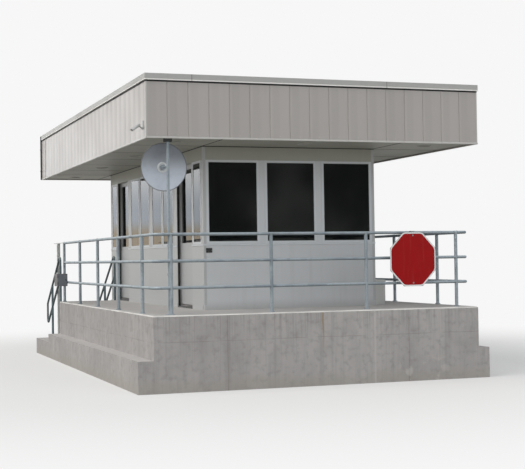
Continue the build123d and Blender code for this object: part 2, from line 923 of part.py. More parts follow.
def security_camera():
    """A hooded camera body on an arm from the left fascia, aimed outwards, forwards and down."""
    heading = math.radians(camera_heading)
    tilt = math.radians(camera_tilt)
    aim = Vector(
        -math.cos(heading) * math.cos(tilt), -math.sin(heading) * math.cos(tilt), -math.sin(tilt)
    )
    rear = Vector(canopy_left - camera_offset, camera_y, canopy_bottom + camera_lift)
    across = Vector(math.sin(heading), -math.cos(heading), 0)
    hood_length = camera_length + camera_hood_reach
    body = extrude(Circle(camera_radius), amount=camera_length)
    hood = extrude(Circle(camera_radius + camera_hood) - Circle(camera_radius), amount=hood_length)
    hood = split(hood, Plane.XZ, keep=Keep.BOTTOM)
    lens = extrude(Circle(camera_lens_radius), amount=camera_length + camera_lens_proud)
    head_piece = Plane(origin=rear, x_dir=across, z_dir=aim) * fuse([body, hood, lens])
    plate_y = camera_y + camera_plate_shift
    plate_z = rear.Z - camera_plate_drop
    plate = slab(
        canopy_left - camera_plate_thickness, canopy_left,
        plate_y - camera_plate_width / 2, plate_y + camera_plate_width / 2,
        plate_z - camera_plate_height / 2, plate_z + camera_plate_height / 2,
    )
    plate_face = canopy_left - camera_plate_thickness
    arm_z = plate_z - camera_arm_drop
    collar_end = plate_face - camera_collar_length
    collar = pipe((plate_face, plate_y, arm_z), (collar_end, plate_y, arm_z), camera_collar_radius)
    foot = (plate_face - camera_collar_length / 2, plate_y, arm_z)
    arm = pipe(foot, tuple(rear + aim * camera_grip), camera_arm)
    return fuse([head_piece, plate, collar, arm])


def control_box():
    """The small box hung on the outside of the last bay of the left railing."""
    x1 = left_rail_x - rail_radius - seat_gap
    y1 = walkway_depth - control_from_end
    z0 = island_height + control_lift
    body = slab(x1 - control_width, x1, y1 - control_depth, y1, z0, z0 + control_height)
    return chamfer(body.edges().filter_by(Axis.Z), step_arris)


def equipment_cabinet():
    """The low cabinet on the island beside the booth's right wall, with a lapped lid and a door groove."""
    x0 = booth_right + base_lip + cabinet_lid_lap
    x1 = booth_right + base_lip + cabinet_width
    y0 = booth_front + cabinet_start
    y1 = y0 + cabinet_length
    top = island_height + cabinet_height
    lap = cabinet_lid_lap
    plinth = slab(x0 + lap, x1 - lap, y0 + lap, y1 - lap, island_height, island_height + cabinet_plinth)
    body = slab(x0, x1, y0, y1, island_height + cabinet_plinth, top - cabinet_lid)
    groove_x = x0 + (x1 - x0) / 3
    groove = slab(
        groove_x, groove_x + cabinet_groove, y0 - 1, y0 + cabinet_groove,
        island_height + 2 * cabinet_plinth, top - 2 * cabinet_lid,
    )
    lid = slab(x0 - lap, x1 + lap, y0 - lap, y1 + lap, top - cabinet_lid, top)
    lid = chamfer(lid.faces().sort_by(Axis.Z)[-1].outer_wire().edges(), lap)
    return fuse([body - groove, plinth, lid])


def wall_plate():
    """The small dark plate under the front wall's left window."""
    x0 = booth_left + wall_plate_side
    z1 = sill - wall_plate_below_sill
    return slab(
        x0, x0 + wall_plate_width, booth_front - wall_plate_thickness, booth_front,
        z1 - wall_plate_height, z1,
    )


parts = {
    "island": island(),
    "ledges": ledges(),
    "stair_flight": stair_flight(),
    "booth_floor": booth_floor(),
    "security_camera": security_camera(),
    "control_box": control_box(),
    "equipment_cabinet": equipment_cabinet(),
    "wall_plate": wall_plate(),
}
parts.update(wall_nodes())
parts.update(door_nodes())
parts.update(canopy_nodes())
parts.update(railing_nodes())
parts.update(stair_nodes())
parts.update(mirror_nodes())
parts.update(sign_nodes())

outline_box = Compound(children=[Compound(children=list(p.solids())) for p in parts.values()]).bounding_box()
middle = Pos(
    -(outline_box.min.X + outline_box.max.X) / 2,
    -(outline_box.min.Y + outline_box.max.Y) / 2,
    -outline_box.min.Z,
)
os.makedirs("parts", exist_ok=True)
for name, shape in parts.items():
    node = Compound(children=[middle * solid for solid in shape.solids()])
    export_step(node, f"parts/{name}.step")
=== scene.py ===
"""Finishes and small fittings of a guard booth with a deep canopy on a concrete island.

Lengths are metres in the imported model's frame, with Z up. Places on the object are
measured from the island's front left corner at ground level, X right and Y away.
"""

import logging
import math
from dataclasses import dataclass, field
from enum import Enum
from typing import Any, Callable, Iterable, Optional, Sequence, Union

import bpy
from mathutils import Matrix, Vector


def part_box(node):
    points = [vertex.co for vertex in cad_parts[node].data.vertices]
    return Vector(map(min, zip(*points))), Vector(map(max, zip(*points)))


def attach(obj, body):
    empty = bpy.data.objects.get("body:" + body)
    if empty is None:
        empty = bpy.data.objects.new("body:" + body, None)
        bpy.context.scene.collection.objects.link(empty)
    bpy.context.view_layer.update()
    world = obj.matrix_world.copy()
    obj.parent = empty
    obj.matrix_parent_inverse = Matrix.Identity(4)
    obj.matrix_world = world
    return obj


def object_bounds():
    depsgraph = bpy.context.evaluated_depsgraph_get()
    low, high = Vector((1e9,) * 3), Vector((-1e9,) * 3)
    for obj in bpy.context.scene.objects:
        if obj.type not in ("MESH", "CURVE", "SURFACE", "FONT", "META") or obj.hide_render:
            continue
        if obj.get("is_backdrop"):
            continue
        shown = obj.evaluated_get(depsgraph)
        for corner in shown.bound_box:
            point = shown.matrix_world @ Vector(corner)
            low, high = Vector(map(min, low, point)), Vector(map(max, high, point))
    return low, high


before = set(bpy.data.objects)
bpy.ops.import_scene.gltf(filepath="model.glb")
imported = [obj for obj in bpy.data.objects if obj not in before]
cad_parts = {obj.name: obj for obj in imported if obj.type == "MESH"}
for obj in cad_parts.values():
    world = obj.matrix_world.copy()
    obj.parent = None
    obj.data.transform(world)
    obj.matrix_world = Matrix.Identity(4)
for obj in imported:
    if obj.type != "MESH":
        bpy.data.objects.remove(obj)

log = logging.getLogger("booth")

Colour = tuple[float, float, float]
Span = tuple[float, float]
Piece = bpy.types.Object
Material = bpy.types.Material
Value = Union["Socket", float]
Key = Union[str, int]

ISLAND_HEIGHT = 0.914
SILL_LEVEL = ISLAND_HEIGHT + 0.953
HEAD_LEVEL = ISLAND_HEIGHT + 2.163
SOFFIT_LEVEL = 3.275
QUARTER = math.pi / 2
ORIGIN = Vector((0, 0, 0))
DOWN = Vector((0, 0, -1))
FRONT = Vector((0, -1, 0))
FLAT, ROUND = 20.0, 50.0


def island_corner() -> Vector:
    """The island's front left corner at ground level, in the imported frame."""
    low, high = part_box("island")
    return Vector((low.x, low.y, high.z - ISLAND_HEIGHT))


CORNER = island_corner()


def place(x: float, y: float, z: float) -> Vector:
    """A point measured from the island's corner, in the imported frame."""
    return CORNER + Vector((x, y, z))


def facing(point: Vector, direction: Vector, front: str = "-Y") -> Matrix:
    """The matrix that sets a piece at a point with its front along a direction."""
    return Matrix.Translation(point) @ direction.to_track_quat(front, "X").to_matrix().to_4x4()


def spaced(first: float, last: float, count: int) -> list[float]:
    """Evenly spaced places from the first to the last."""
    return [first + i * (last - first) / (count - 1) for i in range(count)]


def rgb(*display: float) -> Colour:
    """A colour given as 0 to 255 display values, made linear."""
    parts = [value / 255 for value in display]
    return tuple(part / 12.92 if part <= 0.04045 else ((part + 0.055) / 1.055) ** 2.4 for part in parts)


def operators(operation: str) -> tuple[Callable, Callable]:
    """The methods that put a Math node between a socket and another value.

    Args:
        operation: The node's operation.

    Returns:
        The method for the socket on the left, and the one for the right.
    """

    def left(self: "Socket", other: Value) -> "Socket":
        """This socket first."""
        return self.graph.math(operation, self, other)

    def right(self: "Socket", other: Value) -> "Socket":
        """The other value first."""
        return self.graph.math(operation, other, self)

    return left, right


class Socket:
    """A node's output that takes part in Python arithmetic."""

    def __init__(self, graph: "Graph", link: bpy.types.NodeSocket) -> None:
        """Keeps the graph that grows and the output itself."""
        self.graph = graph
        self.link = link

    __add__, __radd__ = operators("ADD")
    __sub__, __rsub__ = operators("SUBTRACT")
    __mul__, __rmul__ = operators("MULTIPLY")
    __truediv__, __rtruediv__ = operators("DIVIDE")

    def __abs__(self) -> "Socket":
        """This without its sign."""
        return self.graph.math("ABSOLUTE", self)


class Graph:
    """The nodes of one material or world, grown by expressions."""

    def __init__(self, name: str, world: Optional[bpy.types.World] = None) -> None:
        """Empties the nodes of a new material, or of the world.

        Args:
            name: The material's name.
            world: The world, where it is for that.
        """
        self.owner = world or bpy.data.materials.new(name)
        self.owner.use_nodes = True
        self.tree = self.owner.node_tree
        self.tree.nodes.clear()
        self._place: Optional[Socket] = None

    def node(
        self, kind: str, inputs: Optional[dict[Key, Any]] = None, output: Key = 0, **settings: Any
    ) -> Socket:
        """Adds a node.

        Args:
            kind: The node's type, without its prefix.
            inputs: Values or sockets for the node's inputs.
            output: The output that is given back.
            settings: Properties that are set first.

        Returns:
            The chosen output.
        """
        made = self.tree.nodes.new("ShaderNode" + kind)
        for key, value in settings.items():
            setattr(made, key, value)
        for key, value in (inputs or {}).items():
            socket = made.inputs[key]
            if isinstance(value, Socket):
                self.tree.links.new(value.link, socket)
            else:
                plain = isinstance(value, tuple) and socket.type == "RGBA"
                socket.default_value = (*value, 1.0) if plain else value
        return Socket(self, made.outputs[output] if len(made.outputs) else None)

    def math(self, operation: str, first: Value, second: Value = 0.0) -> Socket:
        """A Math node of one or two values."""
        return self.node("Math", {0: first, 1: second}, operation=operation)

    def position(self) -> Socket:
        """The place on the piece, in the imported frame."""
        if self._place is None:
            self._place = self.node("TexCoord", output="Object")
        return self._place

    def stretched(self, across: float, along: float) -> Socket:
        """The place scaled in plan and in height, for runs that go down."""
        return self.node("Mapping", {"Vector": self.position(), "Scale": (across, across, along)})

    def axis(self, name: str, vector: Optional[Socket] = None) -> Socket:
        """One coordinate of the place or of another vector."""
        return self.node("SeparateXYZ", {0: vector or self.position()}, name)

    def level(self, base: float = 0.0) -> Socket:
        """The height over a level that is measured from the ground."""
        return self.axis("Z") - (CORNER.z + base)

    def normal(self, name: str) -> Socket:
        """One coordinate of the surface's own normal."""
        return self.axis(name, self.node("NewGeometry", output="Normal"))

    def facing(self, name: str, low: float = 0.5, high: float = 0.8) -> Socket:
        """A mask of the faces that look along an axis, either way."""
        return self.between(abs(self.normal(name)), low, high)

    def noise(self, scale: float, detail: float = 3.0, vector: Optional[Socket] = None) -> Socket:
        """Soft noise from 0 to 1 at a scale in cycles per metre."""
        inputs = {"Vector": vector or self.position(), "Scale": scale, "Detail": detail}
        return self.node("TexNoise", inputs)

    def runs(self, across: float, along: float, detail: float = 4.0) -> Socket:
        """Noise drawn out downwards."""
        return self.noise(1.0, detail, self.stretched(across, along))

    def cells(self, scale: float, output: str = "Distance") -> Socket:
        """A cell pattern at a scale in cells per metre."""
        return self.node("TexVoronoi", {"Vector": self.position(), "Scale": scale}, output)

    def between(self, value: Value, low: float, high: float) -> Socket:
        """A smooth step from 0 at low to 1 at high."""
        inputs = {"Value": value, "From Min": low, "From Max": high}
        return self.node("MapRange", inputs, interpolation_type="SMOOTHSTEP")

    def until(self, value: Value, low: float, high: float) -> Socket:
        """A smooth step from 1 at low to 0 at high."""
        return 1.0 - self.between(value, low, high)

    def band(self, value: Socket, middle: float, half: float, soft: float) -> Socket:
        """A mask that is 1 within half of the middle and fades over soft."""
        return self.until(abs(value - middle), half, half + soft)

    def mix(self, factor: Value, first: Any, second: Any) -> Socket:
        """A colour between two others."""
        inputs = {0: factor, 6: first, 7: second}
        return self.node("Mix", inputs, 2, data_type="RGBA", clamp_factor=True)

    def layers(self, colour: Any, *layers: tuple[Value, Any]) -> Socket:
        """A colour with others laid over it in turn.

        Args:
            colour: The lowest colour.
            layers: Each layer's mask and colour.

        Returns:
            The colour of all together.
        """
        for mask, other in layers:
            colour = self.mix(mask, colour, other)
        return colour

    def shade(self, colour: Any, amount: Value) -> Socket:
        """A colour made lighter or darker, where an amount of 1 leaves it."""
        grey = self.node("CombineXYZ", {0: amount, 1: amount, 2: amount})
        return self.node("VectorMath", {0: colour, 1: grey}, operation="MULTIPLY")

    def bump(self, height: Value, distance: float, strength: float) -> Socket:
        """A normal from a height in units of distance."""
        return self.node("Bump", {"Height": height, "Distance": distance, "Strength": strength})

    def surface(self, colour: Any, roughness: Value, normal: Socket, **others: Value) -> Material:
        """Ends the material with its shader.

        Args:
            colour: The base colour.
            roughness: The roughness.
            normal: The normal.
            others: More inputs of the shader, with underscores for spaces.

        Returns:
            The finished material.
        """
        inputs = {"Base Color": colour, "Roughness": roughness, "Normal": normal}
        inputs.update({name.replace("_", " "): value for name, value in others.items()})
        self.node("OutputMaterial", {"Surface": self.node("BsdfPrincipled", inputs)})
        return self.owner


@dataclass(frozen=True)
class Concrete:
    """Formed concrete with streaks, pores and stains; its arrises are lighter, partly as wear and
    partly as painted highlight, and its upward faces are painted lighter as light from above.
    """

    name: str
    colour: Colour = rgb(174, 170, 168)
    dark: Colour = rgb(144, 140, 138)
    pale: Colour = rgb(200, 196, 193)
    # Colour of the eased arrises: part wear, part painted highlight.
    arris_wear_and_highlight: Colour = rgb(228, 226, 221)
    lime: Colour = rgb(226, 223, 216)
    damp: Colour = rgb(170, 164, 154)
    joint: Colour = rgb(112, 108, 102)
    rust: Colour = rgb(158, 136, 102)
    streaks: float = 0.45
    joints: tuple[float, ...] = ()
    rust_marks: tuple[float, ...] = ()
    pale_marks: tuple[float, ...] = ()
    blotches: Optional[Span] = None
    blotch_edge: float = 0.3
    lift_level: float = 0.56

    def build(self) -> Material:
        """Makes the material."""
        graph = Graph(self.name)
        x = graph.axis("X") - CORNER.x
        z = graph.level()
        upright = 1.0 - graph.facing("Z", 0.8, 0.95)
        front = graph.facing("Y", 0.8, 0.95)
        cloud = graph.noise(3.2, 6.0)
        thread = graph.runs(34.0, 1.1)
        grain = graph.noise(150.0, 3.0)
        pores = graph.until(graph.cells(38.0), 0.05, 0.13)
        pores = pores * graph.between(graph.noise(9.0), 0.5, 0.62)
        wobble = (graph.noise(5.0) - 0.5) * 0.035
        colour = self.weathered(graph, cloud, thread, upright)
        for mark in self.joints:
            stain = graph.band(x + wobble * 2.0, mark, 0.01, 0.05) * front
            line = graph.band(x + wobble, mark, 0.0025, 0.007) * front
            colour = graph.layers(colour, (stain * 0.15, self.dark), (line * 0.3, self.joint))
        for mark in self.rust_marks:
            fade = graph.between(z, 0.3, 0.7) * graph.between(thread, 0.3, 0.55) * front
            line = graph.band(x + wobble, mark, 0.002, 0.02) * fade
            colour = graph.mix(line * 0.75, colour, self.rust)
        for mark in self.pale_marks:
            line = graph.band(x + wobble * 0.5, mark, 0.004, 0.02) * front
            colour = graph.mix(line * 0.5, colour, self.pale)
        lift = graph.band(z + wobble * 0.7, self.lift_level, 0.002, 0.008) * upright
        lift = lift * graph.between(cloud, 0.35, 0.55)
        colour = graph.mix(lift * 0.4, colour, self.dark)
        if self.blotches:
            low, high = self.blotches
            inside = graph.between(x, low, low + self.blotch_edge)
            inside = inside * graph.until(x, high - self.blotch_edge, high)
            patch = graph.between(graph.noise(7.0, 5.0), 0.5, 0.62) * graph.until(z, 0.12, 0.3)
            colour = graph.mix(inside * patch * front * 0.3, colour, self.lime)
        # Upward faces mixed 60 percent towards the pale colour: painted light from above.
        colour = graph.mix((1.0 - upright) * 0.6, colour, self.pale)
        # Eased arrises made lighter: partly wear, partly a painted highlight.
        arris, corner = (graph.band(abs(graph.normal(axis)), 0.7, 0.14, 0.05) for axis in "ZY")
        arris_wear_and_highlight = graph.math("MAXIMUM", arris, corner) * (0.55 + 0.45 * graph.between(cloud, 0.3, 0.6))
        colour = graph.layers(colour, (arris_wear_and_highlight, self.arris_wear_and_highlight), (pores * 0.45, self.dark))
        height = grain * 0.25 + cloud * 0.5 + thread * 0.35 * upright - pores * 0.9 - lift * 0.5
        return graph.surface(
            graph.shade(colour, 0.94 + grain * 0.12),
            0.82 + grain * 0.14,
            graph.bump(height, 0.004, 0.7),
            Specular_IOR_Level=0.25,
        )

    def weathered(self, graph: Graph, cloud: Socket, thread: Socket, upright: Socket) -> Socket:
        """The ground colour with its clouds, runs and splashed foot.

        Args:
            graph: The material that grows.
            cloud: Middle-sized noise.
            thread: Fine upright noise.
            upright: Mask of the upright faces.

        Returns:
            The colour.
        """
        z = graph.level()
        streak = graph.between(graph.runs(8.0, 0.55, 5.0), 0.42, 0.7) * 0.5
        streak = streak + graph.between(thread, 0.5, 0.72) * 0.5
        drips = graph.between(thread, 0.5, 0.68) * graph.between(z + (cloud - 0.5) * 0.5, 0.5, 0.9)
        splash = graph.until(z + (cloud - 0.5) * 0.3, -0.02, 0.09)
        bloom = graph.until(z, 0.08, 0.4) * graph.between(cloud, 0.58, 0.7)
        return graph.layers(
            self.colour,
            (graph.between(graph.noise(0.9, 4.0), 0.3, 0.7) * 0.45, self.pale),
            (graph.between(graph.noise(12.0, 6.0), 0.48, 0.72) * 0.45, self.dark),
            (drips * upright * 0.4, self.dark),
            (graph.between(cloud, 0.45, 0.75) * 0.3, self.dark),
            (streak * upright * self.streaks, self.dark),
            (splash * upright * 0.4, self.damp),
            (bloom * upright * 0.3, self.pale),
        )


@dataclass(frozen=True)
class SheetPaint:
    """Painted sheet metal with faint runs of dirt and a slight waviness, a painted highlight on its hem
    with painted shade along the crease above it, and painted shade beside its ribs.
    """

    name: str
    colour: Colour
    # Colour of the dirt, which also paints the shade line above the hem.
    dirt_and_crease_shade: Colour = rgb(120, 113, 100)
    wash: Colour = rgb(240, 232, 220)
    # Colour of the hem's painted highlight.
    hem_highlight: Colour = rgb(232, 230, 226)
    lap: Colour = rgb(70, 68, 66)
    roughness: float = 0.42
    runs: float = 0.14
    panel_pitch: float = 0.0
    panel_start: float = 0.0
    # Strength of the painted shade beside the ribs.
    rib_shade_strength: float = 0.0
    hem: Optional[Span] = None
    laps: tuple[float, ...] = ()
    low_dirt: float = 0.0
    sill_wash: float = 0.0
    waviness: float = 0.5
    specular: float = 0.4
    coat: float = 0.0

    def build(self) -> Material:
        """Makes the material."""
        graph = Graph(self.name)
        cloud = graph.noise(1.6, 4.0)
        run = graph.runs(15.0, 0.8, 5.0)
        speck = graph.noise(260.0, 2.0)
        scuff = graph.between(graph.noise(26.0, 6.0), 0.66, 0.8)
        colour = graph.layers(
            self.colour,
            (graph.between(run, 0.5, 0.8) * self.runs, self.dirt_and_crease_shade),
            (graph.between(cloud, 0.4, 0.8) * self.runs * 0.5, self.dirt_and_crease_shade),
            (scuff * self.runs * 0.5, self.dirt_and_crease_shade),
        )
        if self.low_dirt:
            near = graph.until(graph.level(ISLAND_HEIGHT) + (cloud - 0.5) * 0.12, 0.0, 0.16)
            colour = graph.mix(near * self.low_dirt, colour, self.dirt_and_crease_shade)
        if self.sill_wash:
            wash = graph.between(graph.level(SILL_LEVEL) + run * 0.5, -0.15, 0.2)
            colour = graph.mix(wash * graph.facing("X") * self.sill_wash, colour, self.wash)
        if self.panel_pitch:
            colour = self.panelled(graph, colour)
        if self.hem:
            low, high = self.hem
            level = graph.level()
            # The hem band is painted lighter as the highlight of its bend, and a darker line is painted
            # just above it as the shade of the crease.
            hem_highlight = graph.between(level, low - 0.001, low + 0.001)
            hem_highlight = hem_highlight * graph.until(level, high - 0.002, high + 0.002)
            edge = graph.band(level, high + 0.002, 0.001, 0.003)
            colour = graph.layers(colour, (hem_highlight * 0.9, self.hem_highlight), (edge * 0.45, self.dirt_and_crease_shade))
        for mark in self.laps:
            for axis, corner in (("X", CORNER.x), ("Y", CORNER.y)):
                line = graph.band(graph.axis(axis) - (corner + mark), 0.0, 0.0025, 0.003)
                colour = graph.mix(line * (1.0 - graph.facing(axis)) * 0.8, colour, self.lap)
        return graph.surface(
            graph.shade(colour, 0.985 + speck * 0.03),
            self.roughness - 0.05 + graph.between(cloud, 0.3, 0.7) * 0.1 + speck * 0.04,
            graph.bump(speck * 0.05 + graph.noise(2.4, 1.0) * self.waviness, 0.003, 0.6),
            Specular_IOR_Level=self.specular,
            Coat_Weight=self.coat,
            Coat_Roughness=0.3,
        )

    def panelled(self, graph: Graph, colour: Socket) -> Socket:
        """The colour with each panel's own tone, and painted shade along its ribs, most of all at the
        sides.

        Args:
            graph: The material that grows.
            colour: The colour of plain sheet.

        Returns:
            The colour.
        """
        count = (graph.axis("X") + graph.axis("Y") - self.panel_start) / self.panel_pitch
        tone = graph.node("TexWhiteNoise", {"W": graph.math("FLOOR", count)}, noise_dimensions="1D")
        share = graph.math("FRACT", count + 100.0)
        # Painted shade in a soft band beside each rib, stronger on faces that look along X.
        rib_shade_mask = graph.between(share, 0.08, 0.2) * graph.until(share, 0.42, 0.56)
        depth = (0.25 + graph.facing("X") * 0.75) * self.rib_shade_strength
        return graph.shade(graph.shade(colour, 0.975 + tone * 0.05), 1.0 - rib_shade_mask * depth)


@dataclass(frozen=True)
class Galvanised:
    """Hot-dipped zinc with a soft spangle and dull patches, painted lighter on upward faces as a
    highlight and darker underneath as shade.
    """

    name: str
    colour: Colour = rgb(160, 171, 178)
    dull: Colour = rgb(122, 134, 142)
    # This colour serves the spangle and also the painted highlight on upward faces.
    bright: Colour = rgb(200, 208, 213)
    metallic: float = 0.35
    roughness: float = 0.46

    def build(self) -> Material:
        """Makes the material."""
        graph = Graph(self.name)
        tone = graph.axis("X", graph.cells(55.0, "Color"))
        patch = graph.noise(4.5, 5.0)
        fine = graph.noise(210.0, 2.0)
        up = graph.normal("Z")
        colour = graph.layers(
            self.colour,
            (tone * 0.3, self.bright),
            (graph.between(patch, 0.42, 0.68) * 0.55, self.dull),
            (graph.between(graph.runs(26.0, 2.0), 0.55, 0.75) * 0.3, self.dull),
            # Upward faces mixed towards the bright colour: painted highlight.
            (graph.between(up, 0.35, 0.95) * 0.5, self.bright),
        )
        return graph.surface(
            # Downward faces darkened by up to 35 percent: painted shade.
            graph.shade(colour, 1.0 - graph.until(up, -0.9, -0.1) * 0.35),
            self.roughness + tone * 0.08 + fine * 0.06,
            graph.bump(fine * 0.2 + tone * 0.1 + patch * 0.4, 0.001, 0.5),
            Metallic=self.metallic,
        )


@dataclass(frozen=True)
class TintedGlass:
    """Dark tinted glazing with a film of dust towards its lower edge."""

    name: str
    tint: Colour = rgb(10, 13, 13)
    dust: Colour = rgb(110, 112, 108)
    clear: float = 0.2
    low: float = 1.9

    def build(self) -> Material:
        """Makes the material."""
        graph = Graph(self.name)
        near = graph.until(graph.level(self.low), 0.0, 0.22)
        near = near * graph.between(graph.noise(3.0, 5.0), 0.35, 0.7)
        film = near * 0.035 + graph.between(graph.runs(9.0, 1.2), 0.5, 0.8) * 0.012
        return graph.surface(
            graph.mix(film, self.tint, self.dust),
            0.012 + film * 0.5,
            graph.bump(graph.noise(1.3, 1.0), 0.001, 0.04),
            IOR=1.5,
            Alpha=1.0 - self.clear + film,
        )


@dataclass(frozen=True)
class Moulded:
    """Rubber or plastic with a fine surface and a little dust, darker where something shades it."""

    name: str
    colour: Colour
    dust: Colour = rgb(140, 138, 132)
    roughness: float = 0.55
    dustiness: float = 0.15
    coat: float = 0.0
    shaded: Optional[Span] = None

    def build(self) -> Material:
        """Makes the material."""
        graph = Graph(self.name)
        fine = graph.noise(420.0, 2.0)
        cloud = graph.noise(14.0, 5.0)
        dust = graph.between(cloud, 0.45, 0.75) * self.dustiness
        colour = graph.shade(graph.mix(dust, self.colour, self.dust), 0.96 + fine * 0.08)
        if self.shaded:
            colour = graph.shade(colour, 1.0 - graph.between(graph.level(), *self.shaded) * 0.6)
        roughness = self.roughness + graph.between(cloud, 0.4, 0.7) * 0.12
        return graph.surface(colour, roughness, graph.bump(fine, 0.0004, 0.5), Coat_Weight=self.coat)


@dataclass(frozen=True)
class RetroSheeting:
    """Reflective sign sheeting with its fine honeycomb and a weathered sheen."""

    name: str
    colour: Colour
    cell: Colour
    wash: Colour = rgb(150, 140, 130)
    roughness: float = 0.38

    def build(self) -> Material:
        """Makes the material."""
        graph = Graph(self.name)
        comb = graph.between(graph.cells(190.0), 0.25, 0.55)
        cloud = graph.noise(5.0, 5.0)
        wash = graph.between(graph.runs(30.0, 2.5), 0.5, 0.8)
        colour = graph.layers(self.colour, (comb * 0.18, self.cell), (wash * 0.06, self.wash))
        return graph.surface(
            graph.shade(colour, 0.95 + graph.between(cloud, 0.3, 0.7) * 0.08),
            self.roughness + comb * 0.08 + cloud * 0.05,
            graph.bump(comb, 0.0002, 0.4),
            Specular_IOR_Level=0.2,
        )


@dataclass(frozen=True)
class RoofMembrane:
    """Bitumen sheet laid in lapped strips a metre wide, with mineral grains and ponding marks."""

    name: str
    colour: Colour = rgb(132, 132, 130)
    dark: Colour = rgb(92, 92, 91)
    silt: Colour = rgb(168, 162, 150)

    def build(self) -> Material:
        """Makes the material."""
        graph = Graph(self.name)
        lap = graph.band(graph.math("FRACT", graph.axis("X") + 40.0), 0.5, 0.008, 0.01)
        grain = graph.noise(240.0, 2.0)
        cloud = graph.noise(0.8, 6.0)
        colour = graph.layers(
            self.colour,
            (graph.between(cloud, 0.4, 0.7) * 0.5, self.dark),
            (lap * 0.6, self.dark),
            (graph.band(cloud, 0.58, 0.01, 0.09) * 0.22, self.silt),
        )
        return graph.surface(
            graph.shade(colour, 0.86 + grain * 0.28),
            0.85 + grain * 0.1,
            graph.bump(grain * 0.4 + lap * 0.6, 0.003, 0.7),
        )


class Finishes(Enum):
    """The finishes that the nodes and the fittings take."""

    ISLAND = Concrete(
        "island_concrete", joints=(1.01, 3.67), rust_marks=(2.38,), pale_marks=(3.15,),
        blotches=(3.4, 4.4),
    )
    LEDGE = Concrete("ledge_concrete", streaks=0.4)
    STAIR = Concrete("stair_concrete", streaks=0.3)
    FLOOR = Concrete("floor_concrete", colour=rgb(96, 95, 92), dark=rgb(74, 73, 71), streaks=0.1)
    # Two copies of one wall paint: the side walls' darker as painted shade, the end walls' lighter as
    # painted light.
    WALL = SheetPaint("wall_paint", rgb(184, 187, 188), runs=0.1, low_dirt=0.3, sill_wash=0.6)
    WALL_END = SheetPaint("end_wall_paint", rgb(207, 209, 211), runs=0.1, low_dirt=0.3)
    HEADER = SheetPaint("header_paint", rgb(174, 174, 164), runs=0.08)
    FRAME = SheetPaint("frame_paint", rgb(212, 215, 218), roughness=0.35, runs=0.06, waviness=0.1)
    DOOR = SheetPaint("door_paint", rgb(196, 199, 198), roughness=0.35, runs=0.1, waviness=0.1)
    # The fascia carries painted shade beside its ribs.
    FASCIA = SheetPaint(
        "fascia_paint", rgb(176, 170, 166), runs=0.08, specular=1.0, coat=0.6,
        panel_pitch=0.29, panel_start=-6.511, rib_shade_strength=0.2,
    )
    SOFFIT = SheetPaint("soffit_paint", rgb(172, 172, 162), runs=0.14, waviness=0.9)
    COPING = SheetPaint(
        "coping_paint", rgb(180, 180, 177), roughness=0.38, runs=0.1,
        hem=(4.02, 4.047), laps=(0.617, 3.48, 6.34),
    )
    TRIM = SheetPaint("trim_paint", rgb(198, 196, 192), roughness=0.36, runs=0.08, waviness=0.1)
    ROOFING = RoofMembrane("roof_membrane")
    GALVANISED = Galvanised("galvanised_pipe")
    STAIR_RAIL = Galvanised(
        "stair_rail_pipe", rgb(104, 118, 122), rgb(80, 94, 98), rgb(148, 160, 162), 0.2
    )
    ZINC = Galvanised("zinc_fixings", colour=rgb(165, 170, 172), metallic=0.8, roughness=0.38)
    NEWEL = SheetPaint("newel_paint", rgb(206, 208, 206), runs=0.12, waviness=0.1)
    GLASS = TintedGlass("tinted_glazing")
    RUBBER = Moulded("black_rubber", rgb(24, 25, 26), roughness=0.6)
    SEALANT = Moulded("grey_sealant", rgb(168, 171, 172), roughness=0.5)
    PLATE = Moulded("dark_plate", rgb(34, 36, 38), roughness=0.4)
    MIRROR = Moulded(
        "mirror_shell", rgb(202, 208, 218), rgb(172, 176, 184), 0.42, 0.25, 0.2, (2.74, 3.1)
    )
    MIRROR_RIM = Moulded("mirror_band", rgb(112, 116, 120), roughness=0.5)
    HUB = Moulded("hub_plastic", rgb(226, 228, 228), rgb(170, 168, 162), 0.4, 0.1, 0.2)
    LENS = Moulded("lamp_lens", rgb(196, 198, 190), rgb(160, 156, 142), 0.22, 0.2, 0.5)
    LAMP = SheetPaint("lamp_trim_paint", rgb(176, 176, 168), runs=0.15, waviness=0.1)
    CAMERA = SheetPaint("camera_paint", rgb(190, 192, 190), roughness=0.4, runs=0.12, waviness=0.1)
    OPTIC = Moulded("camera_glass", rgb(10, 10, 14), roughness=0.05, dustiness=0.02, coat=1.0)
    BOX = SheetPaint("control_box_paint", rgb(122, 120, 122), roughness=0.5, runs=0.2, waviness=0.2)
    BOX_DOOR = SheetPaint(
        "control_door_paint", rgb(126, 131, 138), roughness=0.5, runs=0.2, waviness=0.2
    )
    CABINET = SheetPaint("cabinet_paint", rgb(202, 202, 198), roughness=0.45, runs=0.15)
    SIGN_RED = RetroSheeting("sign_red", rgb(168, 6, 12), rgb(149, 4, 9))
    SIGN_WHITE = RetroSheeting("sign_white", rgb(240, 241, 240), rgb(220, 222, 222))
    DARK_METAL = SheetPaint("dark_metal_paint", rgb(52, 55, 54), roughness=0.5, runs=0.15)

    def material(self) -> Material:
        """The finish's material, made the first time it is asked for."""
        made = bpy.data.materials.get(self.value.name)
        return made if made is not None else self.value.build()


